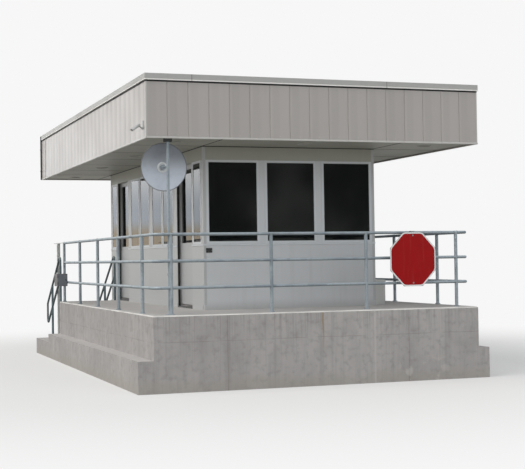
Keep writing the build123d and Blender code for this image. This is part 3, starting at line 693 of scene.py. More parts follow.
class Bench:
    """The modelling steps that the fittings share."""

    @staticmethod
    def clear() -> None:
        """Leaves nothing selected, in object mode."""
        if bpy.context.mode != "OBJECT":
            bpy.ops.object.mode_set(mode="OBJECT")
        bpy.ops.object.select_all(action="DESELECT")

    @classmethod
    def add(cls, operator: Callable[..., Any], **shape: Any) -> Piece:
        """A new primitive with its place in its mesh.

        Args:
            operator: The operator that adds it.
            shape: What the operator takes.

        Returns:
            The piece.
        """
        cls.clear()
        operator(**shape)
        bpy.context.view_layer.update()
        piece = bpy.context.active_object
        piece.data.transform(piece.matrix_world)
        piece.matrix_world = Matrix.Identity(4)
        return piece

    @classmethod
    def edit(cls, piece: Piece, mode: str = "FACE", action: str = "SELECT") -> None:
        """Opens one piece for editing with everything or nothing selected.

        Args:
            piece: The piece.
            mode: What is selected: faces, edges or vertices.
            action: SELECT for everything, DESELECT for nothing.
        """
        cls.clear()
        bpy.context.view_layer.objects.active = piece
        piece.select_set(True)
        bpy.ops.object.mode_set(mode="EDIT")
        bpy.ops.mesh.select_mode(type=mode)
        bpy.ops.mesh.select_all(action=action)

    @classmethod
    def pick(cls, piece: Piece, test: Callable[[Any], bool], mode: str = "FACE") -> None:
        """Opens a piece with those faces or edges selected that pass a test.

        Args:
            piece: The piece.
            test: What a face or an edge has to pass.
            mode: What is selected: faces or edges.
        """
        cls.edit(piece, mode, "DESELECT")
        bpy.ops.object.mode_set(mode="OBJECT")
        for part in piece.data.polygons if mode == "FACE" else piece.data.edges:
            part.select = test(part)
        bpy.ops.object.mode_set(mode="EDIT")

    @staticmethod
    def extrude(*step: float) -> None:
        """Extrudes what is selected by a step."""
        bpy.ops.mesh.extrude_region_move(TRANSFORM_OT_translate={"value": step})

    @staticmethod
    def inset(inward: float, *step: float) -> None:
        """Insets what is selected and moves the inner part by a step."""
        bpy.ops.mesh.inset(thickness=inward)
        bpy.ops.transform.translate(value=step)

    @classmethod
    def outward(cls) -> None:
        """Turns the open piece's normals outward and closes it."""
        bpy.ops.mesh.select_all(action="SELECT")
        bpy.ops.mesh.normals_make_consistent(inside=False)
        cls.clear()

    @classmethod
    def block(cls, x: Span, y: Span, z: Span, ease: float = 0.001, base: Vector = CORNER) -> Piece:
        """A bar or plate over three spans, its edges eased.

        Args:
            x: The span along X.
            y: The span along Y.
            z: The span along Z.
            ease: How far the edges are eased.
            base: The point that the spans are measured from.

        Returns:
            The piece.
        """
        low, high = (base + Vector(corner) for corner in zip(x, y, z))
        size, middle = high - low, (low + high) / 2
        piece = cls.add(bpy.ops.mesh.primitive_cube_add, size=1.0, location=middle, scale=size)
        cls.edit(piece, "EDGE")
        bpy.ops.mesh.bevel(offset=min(ease, min(size) * 0.4), segments=2, affect="EDGES")
        cls.clear()
        return piece

    @classmethod
    def rim(cls, x: Span, y: Span, z: Span, thick: float, lap: float = 0.0) -> list[Piece]:
        """Four strips inside the outline of a rectangle, measured from the island's corner.

        Args:
            x: The outline from left to right.
            y: The outline from front to back.
            z: The strips' lower and upper level.
            thick: How thick the strips are.
            lap: How far the side strips run into the front and back ones.

        Returns:
            The strips.
        """
        (left, right), (front, back) = x, y
        inner = (front + thick - lap, back - thick + lap)
        strips = (
            (x, (front, front + thick)),
            (x, (back - thick, back)),
            ((left, left + thick), inner),
            ((right - thick, right), inner),
        )
        return [cls.block(across, along, z) for across, along in strips]

    @classmethod
    def sheet(cls, width: float, height: float, base: float = 0.0) -> Piece:
        """An upright plane in XZ that starts at X = 0.

        Args:
            width: Its width.
            height: Its height.
            base: The level that it stands on.

        Returns:
            The piece.
        """
        piece = cls.add(bpy.ops.mesh.primitive_plane_add, size=1.0, rotation=(QUARTER, 0, 0))
        middle = Vector((width / 2, 0, base + height / 2))
        piece.data.transform(Matrix.LocRotScale(middle, None, Vector((width, 1, height))))
        return piece

    @classmethod
    def disc(cls, radius: float, sides: int, tilt: float = QUARTER) -> Piece:
        """A filled circle that faces -Y, or up without its tilt."""
        shape = {"radius": radius, "fill_type": "NGON", "rotation": (tilt, 0, 0)}
        return cls.add(bpy.ops.mesh.primitive_circle_add, vertices=sides, **shape)

    @classmethod
    def ring(cls, width: float, height: float, bar: float, depth: float) -> Piece:
        """A rectangular ring in XZ from its lower left corner, extruded towards +Y.

        Args:
            width: Outer width.
            height: Outer height.
            bar: Width of its bars.
            depth: Extrusion.

        Returns:
            The piece.
        """
        piece = cls.sheet(width, height)
        cls.edit(piece)
        bpy.ops.mesh.inset(thickness=bar)
        bpy.ops.mesh.delete(type="FACE")
        bpy.ops.mesh.select_all(action="SELECT")
        cls.extrude(0, depth, 0)
        cls.outward()
        return piece

    @classmethod
    def round_plate(cls, radius: float, rings: Sequence[Span], sides: int) -> Piece:
        """A round piece facing -Y with its back on Y = 0, shaped from its rim inwards.

        Args:
            radius: Outer radius.
            rings: Steps of how far the face goes in and how far it moves towards -Y.
            sides: Number of sides.

        Returns:
            The piece.
        """
        piece = cls.disc(radius, sides)
        cls.edit(piece)
        for inward, forward in rings:
            if inward:
                cls.inset(inward, 0, -forward, 0)
            else:
                cls.extrude(0, -forward, 0)
        cls.clear()
        return piece

    @classmethod
    def button(cls, radius: float, height: float, sides: int = 20) -> Piece:
        """A low domed head facing -Y with its back on Y = 0."""
        steps = ((0, height * 0.45), (radius * 0.3, height * 0.35), (radius * 0.35, height * 0.2))
        return cls.round_plate(radius, steps, sides)

    @classmethod
    def hoop(cls, major: float, minor: float, squash: float = 1.0) -> Piece:
        """A round ring about the Z axis.

        Args:
            major: Radius to the middle of its bar.
            minor: Radius of its bar.
            squash: How much the bar is flattened along Z.

        Returns:
            The piece.
        """
        piece = cls.add(
            bpy.ops.mesh.primitive_torus_add,
            major_radius=major,
            minor_radius=minor,
            major_segments=40 if major > 0.05 else 20,
            minor_segments=8,
        )
        cls.edit(piece)
        bpy.ops.transform.resize(value=(1, 1, squash))
        cls.clear()
        return piece

    @classmethod
    def rod(cls, radius: float, height: float, middle: Vector, sides: int) -> Piece:
        """An upright prism about its middle."""
        shape = {"radius": radius, "depth": height, "location": middle}
        return cls.add(bpy.ops.mesh.primitive_cylinder_add, vertices=sides, **shape)

    @classmethod
    def bolt(cls, across: float, height: float, washer: float, base: float = 0.002) -> Piece:
        """A hexagon head on a washer, pointing up from Z = 0.

        Args:
            across: Size across the head's corners.
            height: Height of the head.
            washer: Radius of the washer.
            base: Thickness of the washer.

        Returns:
            The piece.
        """
        plate = cls.disc(washer, 18, 0)
        cls.edit(plate)
        cls.extrude(0, 0, base)
        head = cls.rod(across / 2, height, Vector((0, 0, base + height / 2)), 6)
        cls.pick(head, lambda face: face.normal.z > 0.9)
        cls.inset(across * 0.07, 0, 0, height * 0.12)
        return cls.joined("bolt_pattern", [plate, head])

    @classmethod
    def joined(cls, name: str, pieces: Sequence[Piece]) -> Piece:
        """Several pieces made one object.

        Args:
            name: The object's name.
            pieces: The pieces, which may be one alone.

        Returns:
            The object.
        """
        cls.clear()
        for piece in pieces:
            piece.select_set(True)
        bpy.context.view_layer.objects.active = pieces[0]
        if len(pieces) > 1:
            bpy.ops.object.join()
        whole = bpy.context.view_layer.objects.active
        whole.name = whole.data.name = name
        cls.clear()
        return whole

    @staticmethod
    def copies(pattern: Piece, places: Iterable[Matrix]) -> list[Piece]:
        """One piece copied to several places, each copy with its own mesh.

        Args:
            pattern: The piece that is copied and then removed.
            places: Where the copies go.

        Returns:
            The copies.
        """
        made = []
        for matrix in places:
            copy = pattern.copy()
            copy.data = pattern.data.copy()
            copy.data.transform(matrix)
            bpy.context.scene.collection.objects.link(copy)
            made.append(copy)
        bpy.data.objects.remove(pattern)
        return made

    @classmethod
    def finish(
        cls, name: str, pieces: Sequence[Piece], finish: Finishes, slot: str, smooth: float = FLAT
    ) -> Piece:
        """Joins, shades, dresses and hangs a finished piece.

        Args:
            name: Its name.
            pieces: What it is joined from.
            finish: Its finish.
            slot: Not used; names the slot that the finish belongs to.
            smooth: Angle under which edges are shaded smooth.

        Returns:
            The piece.
        """
        piece = cls.joined(name, pieces)
        piece.select_set(True)
        bpy.context.view_layer.objects.active = piece
        bpy.ops.object.shade_smooth_by_angle(angle=math.radians(smooth))
        piece.data.materials.clear()
        piece.data.materials.append(finish.material())
        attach(piece, "booth")
        cls.clear()
        log.info("%s: %d faces", piece.name, len(piece.data.polygons))
        return piece


def dress(finish: Finishes, *nodes: str) -> None:
    """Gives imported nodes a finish.

    Args:
        finish: The finish.
        nodes: Names of the nodes.
    """
    material = finish.material()
    for name in nodes:
        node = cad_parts[name]
        if not node.material_slots:
            node.data.materials.append(material)
        for slot in node.material_slots:
            slot.material = material
        log.info("%s: %s", name, material.name)


class Island:
    """The concrete island with its ledges and steps."""

    def build(self) -> None:
        """Dresses the concrete."""
        dress(Finishes.ISLAND, "island")
        dress(Finishes.LEDGE, "ledges")
        dress(Finishes.STAIR, "stair_flight")
        dress(Finishes.FLOOR, "booth_floor")


@dataclass
class Wall:
    """One wall's own frame: X along it from the left seen from outside, Y inwards, Z up."""

    start: Vector
    turn: float
    length: float
    windows: tuple[Span, ...]
    doors: tuple[Span, ...] = ()

    def matrix(self) -> Matrix:
        """From the wall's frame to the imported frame."""
        return Matrix.Translation(self.start) @ Matrix.Rotation(self.turn, 4, "Z")

    def block(self, x: Span, y: Span, z: Span, ease: float = 0.001) -> Piece:
        """A block over three spans in the wall's frame.

        Args:
            x: The span along the wall.
            y: The span inwards.
            z: The span in height.
            ease: How far the edges are eased.

        Returns:
            The piece.
        """
        piece = Bench.block(x, y, z, ease, ORIGIN)
        piece.data.transform(self.matrix())
        return piece


@dataclass
class Booth:
    """The glazed walls with their frames, seals and trims, and a dark strip painted as shade under the
    soffit.

    Openings are given along their wall as starts and widths, and the sill pads from end to end.
    """

    left: float = 1.105
    front: float = 1.365
    width: float = 2.690
    length: float = 6.110
    frame_bar: float = 0.030
    pane_face: float = 0.0005
    pane_lap: float = 0.004
    pane_thickness: float = 0.005
    gasket: float = 0.006
    gasket_proud: float = 0.003
    sill_proud: float = 0.012
    sill_height: float = 0.026
    # How far the dark strip of painted shade at the headers stands proud.
    sill_gap: float = 0.002
    head_shade_proud: float = 0.003
    pad_proud: float = 0.0035
    pad_levels: Span = (0.031, 0.052)
    trim_leg: float = 0.040
    trim_sheet: float = 0.0025
    lip_height: float = 0.075
    lights: tuple[Span, ...] = ((0.110, 0.420), (5.580, 0.420))
    doors: tuple[Span, ...] = ((0.600, 0.820), (4.690, 0.820))
    panes: tuple[Span, ...] = ((1.630, 0.630), (2.330, 0.630), (3.150, 0.630), (3.850, 0.630))
    end_windows: tuple[Span, ...] = ((0.050, 0.8), (0.945, 0.8), (1.840, 0.8))
    pads: tuple[Span, ...] = ((1.475, 1.775), (3.30, 3.60))

    def walls(self) -> list[Wall]:
        """The four walls, front first."""
        right, back = self.left + self.width, self.front + self.length
        sides = self.lights + self.panes
        mirrored = tuple((self.length - start - width, width) for start, width in sides)
        leaves = tuple((self.length - start - width, width) for start, width in self.doors)
        return [
            Wall(place(self.left, self.front, 0), 0.0, self.width, self.end_windows),
            Wall(place(right, self.front, 0), QUARTER, self.length, sides + self.doors),
            Wall(place(right, back, 0), math.pi, self.width, self.end_windows),
            Wall(place(self.left, back, 0), -QUARTER, self.length, mirrored, leaves),
        ]

    def build(self) -> None:
        """Dresses the walls and adds their seals, trims and the dark strip of painted shade under the
        soffit.
        """
        # The end walls take the lighter copy of the wall paint as painted light, the side walls the
        # darker copy as painted shade.
        dress(Finishes.WALL_END, "end_wall_panels", "end_posts")
        dress(Finishes.WALL, "left_wall_panels", "right_wall_panel", "side_posts")
        dress(Finishes.HEADER, "end_headers", "side_headers")
        dress(Finishes.FRAME, "window_frames")
        dress(Finishes.GLASS, "window_glass")
        dress(Finishes.PLATE, "wall_plate")
        self.outer_panes()
        self.gaskets()
        self.sills()
        self.corner_trims()
        self.head_shade_strip()
        self.small_parts()

    def outer_panes(self) -> None:
        """The outer sheet of each double glazed unit, close behind its frame's face."""
        bar = self.frame_bar - self.pane_lap
        depth = (self.pane_face, self.pane_face + self.pane_thickness)
        height = (SILL_LEVEL + bar, HEAD_LEVEL - bar)
        panes = [
            wall.block((start + bar, start + width - bar), depth, height, 0.0005)
            for wall in self.walls()
            for start, width in wall.windows
        ]
        Bench.finish("outer_panes", panes, Finishes.GLASS, "window_glass")

    def gaskets(self) -> None:
        """The sealant round the outside of each fixed pane."""
        rings = []
        bar = self.frame_bar
        for wall in self.walls():
            for start, width in wall.windows:
                height = HEAD_LEVEL - SILL_LEVEL - 2 * bar
                ring = Bench.ring(width - 2 * bar, height, self.gasket, self.gasket_proud)
                corner = Vector((start + bar, self.pane_face - self.gasket_proud, SILL_LEVEL + bar))
                ring.data.transform(wall.matrix() @ Matrix.Translation(corner))
                rings.append(ring)
        Bench.finish("window_gaskets", rings, Finishes.SEALANT, "steel_parts")

    def sills(self) -> None:
        """Bent sill trims under the windows, each with a kick that sheds water."""
        strips = []
        gap = self.sill_gap
        depth = (-self.sill_proud, 0.0)
        height = (SILL_LEVEL - self.sill_height, SILL_LEVEL - 0.001)
        for wall in self.walls():
            begin = 0.0
            for door_start, door_width in sorted(wall.doors) + [(wall.length, 0.0)]:
                strip = Bench.block((begin + gap, door_start - gap), depth, height, 0.002, ORIGIN)
                Bench.pick(strip, lambda face: face.normal.y < -0.9)
                Bench.inset(0.006, 0, 0.003, 0)
                Bench.clear()
                strip.data.transform(wall.matrix())
                strips.append(strip)
                begin = door_start + door_width
        Bench.finish("window_sills", strips, Finishes.FRAME, "frame_aluminium")

    def corner_trims(self) -> None:
        """Folded trims over the four corners of the booth."""
        trims = []
        low, high = ISLAND_HEIGHT + self.lip_height, SOFFIT_LEVEL - 0.012
        shift = Matrix.Translation((-0.0013, -0.0013, 0))
        for wall in self.walls():
            trim = Bench.sheet(self.trim_leg, high - low, low)
            across = [vertex.co.x for vertex in trim.data.vertices]
            Bench.pick(trim, lambda edge: max(across[i] for i in edge.vertices) < 0.001, "EDGE")
            Bench.extrude(0, self.trim_leg, 0)
            Bench.outward()
            bpy.context.view_layer.objects.active = trim
            solid = trim.modifiers.new("sheet", "SOLIDIFY")
            solid.thickness = self.trim_sheet
            solid.offset = 0.0
            bpy.ops.object.modifier_apply(modifier=solid.name)
            trim.data.transform(wall.matrix() @ shift)
            trims.append(trim)
        # The trims take the darker copy of the wall paint, as painted shade.
        Bench.finish("wall_corner_trims", trims, Finishes.WALL, "frame_aluminium")

    def head_shade_strip(self) -> None:
        """A dark strip where the headers meet the soffit, standing in as painted shade of that corner.
        """
        proud = self.head_shade_proud
        height = (SOFFIT_LEVEL - 0.011, SOFFIT_LEVEL - 0.0005)
        strips = [
            wall.block((-proud, wall.length + proud), (-proud, 0.0005), height)
            for wall in self.walls()
        ]
        Bench.finish("header_shade_strip", strips, Finishes.RUBBER, "steel_parts")

    def small_parts(self) -> None:
        """The dark pads on two left sills, and the screws of the small plate."""
        face = (self.left - self.pad_proud, self.left + 0.001)
        height = tuple(SILL_LEVEL + level for level in self.pad_levels)
        pads = [Bench.block(face, span, height) for span in self.pads]
        Bench.finish("sill_pads", pads, Finishes.PLATE, "steel_parts")
        low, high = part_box("wall_plate")
        middle = (low.z + high.z) / 2
        places = [facing(Vector((x, low.y, middle)), FRONT) for x in (low.x + 0.01, high.x - 0.01)]
        screws = Bench.copies(Bench.button(0.0045, 0.002, 12), places)
        Bench.finish("plate_screws", screws, Finishes.ZINC, "steel_parts", ROUND)


@dataclass
class Doors:
    """The two sliding doors with the brush seals on their jambs."""

    booth: Booth = field(default_factory=Booth)
    seal_width: float = 0.034
    seal_thickness: float = 0.004
    seal_setback: float = 0.006
    threshold: float = 0.022

    def build(self) -> None:
        """Dresses both doors and adds the jamb seals."""
        for side in ("front", "back"):
            dress(Finishes.DOOR, f"{side}_door_leaf")
            dress(Finishes.GLASS, f"{side}_door_glass")
            dress(Finishes.ZINC, f"{side}_door_hangers", f"{side}_door_handles")
        dress(Finishes.ZINC, "door_tracks")
        dress(Finishes.DARK_METAL, "door_thresholds")
        wall, thick = self.booth.walls()[3], self.seal_thickness
        depth = (self.seal_setback, self.seal_setback + self.seal_width)
        height = (ISLAND_HEIGHT + self.threshold, HEAD_LEVEL - 0.002)
        strips = [
            wall.block((inner, inner + thick), depth, height)
            for start, width in wall.doors
            for inner in (start, start + width - thick)
        ]
        Bench.finish("door_jamb_seals", strips, Finishes.RUBBER, "steel_parts")


@dataclass
class Canopy:
    """The canopy's fascias, soffit, coping, trims and lights."""

    left: float = -0.015
    right: float = 4.915
    front: float = 0.200
    back: float = 8.640
    bottom: float = 3.255
    height: float = 0.860
    lens_radius: float = 0.086
    ring_radius: float = 0.094
    seam_width: float = 0.016
    fascia_inside: float = 0.0285
    deck_drop: float = 0.130
    pipe_radius: float = 0.0145
    strip_middle: float = 0.440
    strip_levels: Span = (0.024, 0.752)
    clip_levels: Span = (0.16, 0.58)
    # Levels of the dark strip painted as shadow under the coping.
    coping_shadow_levels: Span = (4.006, 4.026)
    rivet_level: float = 0.052
    corner_rivets: tuple[float, ...] = (0.09, 0.255, 0.42, 0.585, 0.75)
    booth: Booth = field(default_factory=Booth)

    def build(self) -> None:
        """Dresses the canopy and adds its seams, lenses and joints."""
        dress(Finishes.FASCIA, "end_fascias", "side_fascias")
        dress(Finishes.SOFFIT, "soffit")
        dress(Finishes.ROOFING, "roof_deck")
        dress(Finishes.COPING, "coping")
        dress(Finishes.TRIM, "drip_trim", "corner_trims")
        dress(Finishes.LAMP, "soffit_lights")
        self.soffit_seams()
        self.shadow_gap()
        self.lenses()
        self.rivets()
        self.corner_pipe()
        self.upstand_bar()

    def soffit_seams(self) -> None:
        """Dark joint strips in the soffit, along the side walls' lines and across the overhangs."""
        booth, inside, half, thin = self.booth, 0.03, self.seam_width / 2, self.seam_width / 4
        top = SOFFIT_LEVEL + 0.0005
        walls = (booth.left, booth.left + booth.width)
        ends = (
            (self.front + inside, booth.front - thin),
            (booth.front + booth.length + thin, self.back - inside),
        )
        sides = ((self.left + inside, walls[0]), (walls[1], self.right - inside))
        strips = [
            Bench.block((x - half, x + half), end, (SOFFIT_LEVEL - 0.003, top))
            for x in walls
            for end in ends
        ]
        strips += [
            Bench.block(side, (y - thin, y + thin), (SOFFIT_LEVEL - 0.002, top))
            for y in spaced(self.front, self.back, 8)[1:-1]
            for side in sides
        ]
        Bench.finish("soffit_seams", strips, Finishes.RUBBER, "steel_parts")

    def shadow_gap(self) -> None:
        """A dark strip right under the coping, standing in as painted shadow of its drip edge."""
        proud, inner = 0.0045, 0.001
        x = (self.left - proud, self.right + proud)
        y = (self.front - proud, self.back + proud)
        strips = Bench.rim(x, y, self.coping_shadow_levels, proud + inner)
        Bench.finish("coping_shadow_strip", strips, Finishes.RUBBER, "steel_parts")

    def lenses(self) -> None:
        """Shallow lenses in the ten lights, each with a raised ring."""
        booth = self.booth
        xs = ((self.left + booth.left) / 2, (self.right + booth.left + booth.width) / 2)
        front, back = (self.front + booth.front) / 2, (self.back + booth.front + booth.length) / 2
        middle = booth.left + booth.width / 2
        spots = [place(x, y, SOFFIT_LEVEL) for x in xs for y in spaced(front, back, 4)]
        spots += [place(middle, y, SOFFIT_LEVEL) for y in (front, back)]
        steps = ((0, 0.003), (0.010, 0.003), (0.022, 0.002), (0.028, 0.001))
        places = [facing(spot - DOWN * 0.0115, DOWN) for spot in spots]
        lenses = Bench.copies(Bench.round_plate(self.lens_radius, steps, 40), places)
        Bench.finish("lamp_lenses", lenses, Finishes.LENS, "lamp_glass")
        places = [Matrix.Translation(spot + DOWN * 0.0075) for spot in spots]
        rings = Bench.copies(Bench.hoop(self.ring_radius, 0.004, 0.8), places)
        Bench.finish("lamp_rings", rings, Finishes.TRIM, "trim_metal", ROUND)

    def rivets(self) -> None:
        """Rivets up the four corner trims and along the trim under the fascias."""
        ends, sides = ((self.front, -1), (self.back, 1)), ((self.left, -1), (self.right, 1))
        level = self.bottom + self.rivet_level
        places = [
            facing(place(x + way * 0.003, y, self.bottom + step), Vector((way, 0, 0)))
            for y in (self.front + 0.03, self.back - 0.03)
            for x, way in sides
            for step in self.corner_rivets
        ]
        places += [
            facing(place(x, y, level), Vector((0, way, 0)))
            for x in spaced(self.left + 0.145, self.right - 0.145, 17)
            for y, way in ends
        ]
        places += [
            facing(place(x, y, level), Vector((way, 0, 0)))
            for y in spaced(self.front + 0.17, self.back - 0.17, 29)
            for x, way in sides
        ]
        rivets = Bench.copies(Bench.button(0.0055, 0.0028, 10), places)
        Bench.finish("fascia_rivets", rivets, Finishes.TRIM, "trim_metal", ROUND)

    def corner_pipe(self) -> None:
        """The dark pipe up the back left corner and the joint strip beside it."""
        left, base, y, radius = self.left, self.bottom, self.back - 0.020, self.pipe_radius
        height, joint = self.height - 0.010, self.back - self.strip_middle
        pipe = Bench.rod(radius, height, place(left - radius, y, base + height / 2), 20)
        Bench.pick(pipe, lambda face: abs(face.normal.z) > 0.9)
        bpy.ops.mesh.bevel(offset=0.006, segments=3, affect="EDGES")
        face = (left - 0.0035, left + 0.001)
        height = tuple(base + level for level in self.strip_levels)
        strip = Bench.block(face, (joint - 0.006, joint + 0.006), height)
        clips = [
            Bench.block((left - 0.031, left), (y - 0.021, y + 0.0185), (z, z + 0.018), 0.002)
            for z in (base + level for level in self.clip_levels)
        ]
        Bench.finish("corner_pipe", [pipe, strip, *clips], Finishes.DARK_METAL, "steel_parts")

    def upstand_bar(self) -> None:
        """The bar that holds the roof sheet's upstand inside the parapet."""
        thick = 0.0035
        inside = self.fascia_inside - thick
        deck = self.bottom + self.height - self.deck_drop
        x = (self.left + inside, self.right - inside)
        y = (self.front + inside, self.back - inside)
        bars = Bench.rim(x, y, (deck + 0.045, deck + 0.067), thick, thick)
        Bench.finish("upstand_bar", bars, Finishes.ZINC, "steel_parts")


@dataclass
class Railing:
    """The pipe railing with its fixings, the stair rails and the newel."""

    front_y: float = 0.218
    left_x: float = 0.080
    right_x: float = 4.715
    back_y: float = 7.480
    left_end: float = 6.82
    back_start: float = 3.855
    pipe: float = 0.021
    post: float = 0.024
    bead: float = 0.0035
    foot_top: float = 0.008
    bolt_circle: float = 0.0325
    levels: tuple[float, float, float] = (0.356, 0.711, 1.067)
    stair_rails: Span = (0.03, 1.04)
    stair_posts: Span = (6.95, 7.83)
    riser: float = ISLAND_HEIGHT / 5

    def build(self) -> None:
        """Dresses the pipes and adds their welds and bolts."""
        dress(Finishes.GALVANISED, "front_railing", "left_railing", "right_railing")
        dress(Finishes.GALVANISED, "back_railing", "rail_corners")
        dress(Finishes.STAIR_RAIL, "stair_rails")
        dress(Finishes.NEWEL, "newel_post")
        dress(Finishes.BOX, "control_box")
        self.welds()
        self.foot_bolts()
        self.control_box()
        self.post_caps()

    def posts(self) -> list[tuple[float, float, Vector, tuple[int, ...]]]:
        """The posts, with the direction of their rails and the ways in which these go on."""
        across, along, both = Vector((1, 0, 0)), Vector((0, 1, 0)), (-1, 1)
        found = [(x, self.front_y, across, both) for x in spaced(0.305, 4.544, 4)]
        found += [(self.left_x, y, along, both) for y in spaced(0.9, self.left_end, 5)[:-1]]
        found += [(self.left_x, self.left_end, along, (-1,))]
        found += [(self.right_x, y, along, both) for y in spaced(1.13, 7.09, 5)]
        return found + [(self.back_start, self.back_y, across, (1,))]

    def welds(self) -> None:
        """Weld beads where the rails meet the posts."""
        reach = self.post - 0.002
        places = [
            facing(place(x, y, ISLAND_HEIGHT + level) + along * way * reach, along, "Z")
            for x, y, along, ways in self.posts()
            for level in self.levels
            for way in ways
        ]
        beads = Bench.copies(Bench.hoop(self.pipe + 0.0005, self.bead), places)
        Bench.finish("rail_welds", beads, Finishes.ZINC, "galvanised", ROUND)

    def foot_bolts(self) -> None:
        """Four bolts on each foot plate, and the bead round the post's foot."""
        (near_x, far_x), (upper_y, lower_y) = self.stair_rails, self.stair_posts
        feet = [(x, y, ISLAND_HEIGHT) for x, y, *_ in self.posts()]
        feet += [(near_x, y, self.riser) for y in (upper_y, lower_y)]
        feet += [(far_x, lower_y, self.riser), (far_x, upper_y, ISLAND_HEIGHT - self.riser)]
        tops = [place(x, y, z + self.foot_top) for x, y, z in feet]
        step = self.bolt_circle * math.sqrt(0.5)
        steps = [Vector((x, y, 0)) for x in (-step, step) for y in (-step, step)]
        bolts = [Matrix.Translation(top + shift) for top in tops for shift in steps]
        heads = Bench.copies(Bench.bolt(0.011, 0.006, 0.0062), bolts)
        Bench.finish("foot_bolts", heads, Finishes.ZINC, "galvanised")
        places = [Matrix.Translation(top) for top in tops]
        beads = Bench.copies(Bench.hoop(self.post, self.bead), places)
        Bench.finish("foot_welds", beads, Finishes.ZINC, "galvanised", ROUND)

    def control_box(self) -> None:
        """The box's door with its lock and hinges."""
        low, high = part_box("control_box")
        face, back, edge = low.y - 0.006, low.y + 0.001, 0.012
        width, height = (low.x + edge, high.x - edge), (low.z + edge, high.z - edge)
        door = Bench.block(width, (face, back), height, 0.003, ORIGIN)
        Bench.finish("control_door", [door], Finishes.BOX_DOOR, "box_paint")
        keyhole = facing(Vector((high.x - 0.032, face, (low.z + high.z) / 2)), FRONT)
        parts = Bench.copies(Bench.button(0.011, 0.006), [keyhole])
        width, depth = (low.x + 0.004, low.x + 0.014), (low.y - 0.010, back)
        for z in (low.z + 0.03, high.z - 0.07):
            parts.append(Bench.block(width, depth, (z, z + 0.04), 0.003, ORIGIN))
        Bench.finish("control_lock", parts, Finishes.DARK_METAL, "steel_parts")

    def post_caps(self) -> None:
        """Low domed caps on the open ends of the left rails."""
        end = self.left_end + self.post - 0.0045
        ends = [place(self.left_x, end, ISLAND_HEIGHT + level) for level in self.levels]
        places = [facing(point, -FRONT) for point in ends]
        caps = Bench.copies(Bench.button(self.pipe * 0.8, 0.006), places)
        Bench.finish("rail_end_caps", caps, Finishes.ZINC, "galvanised", ROUND)


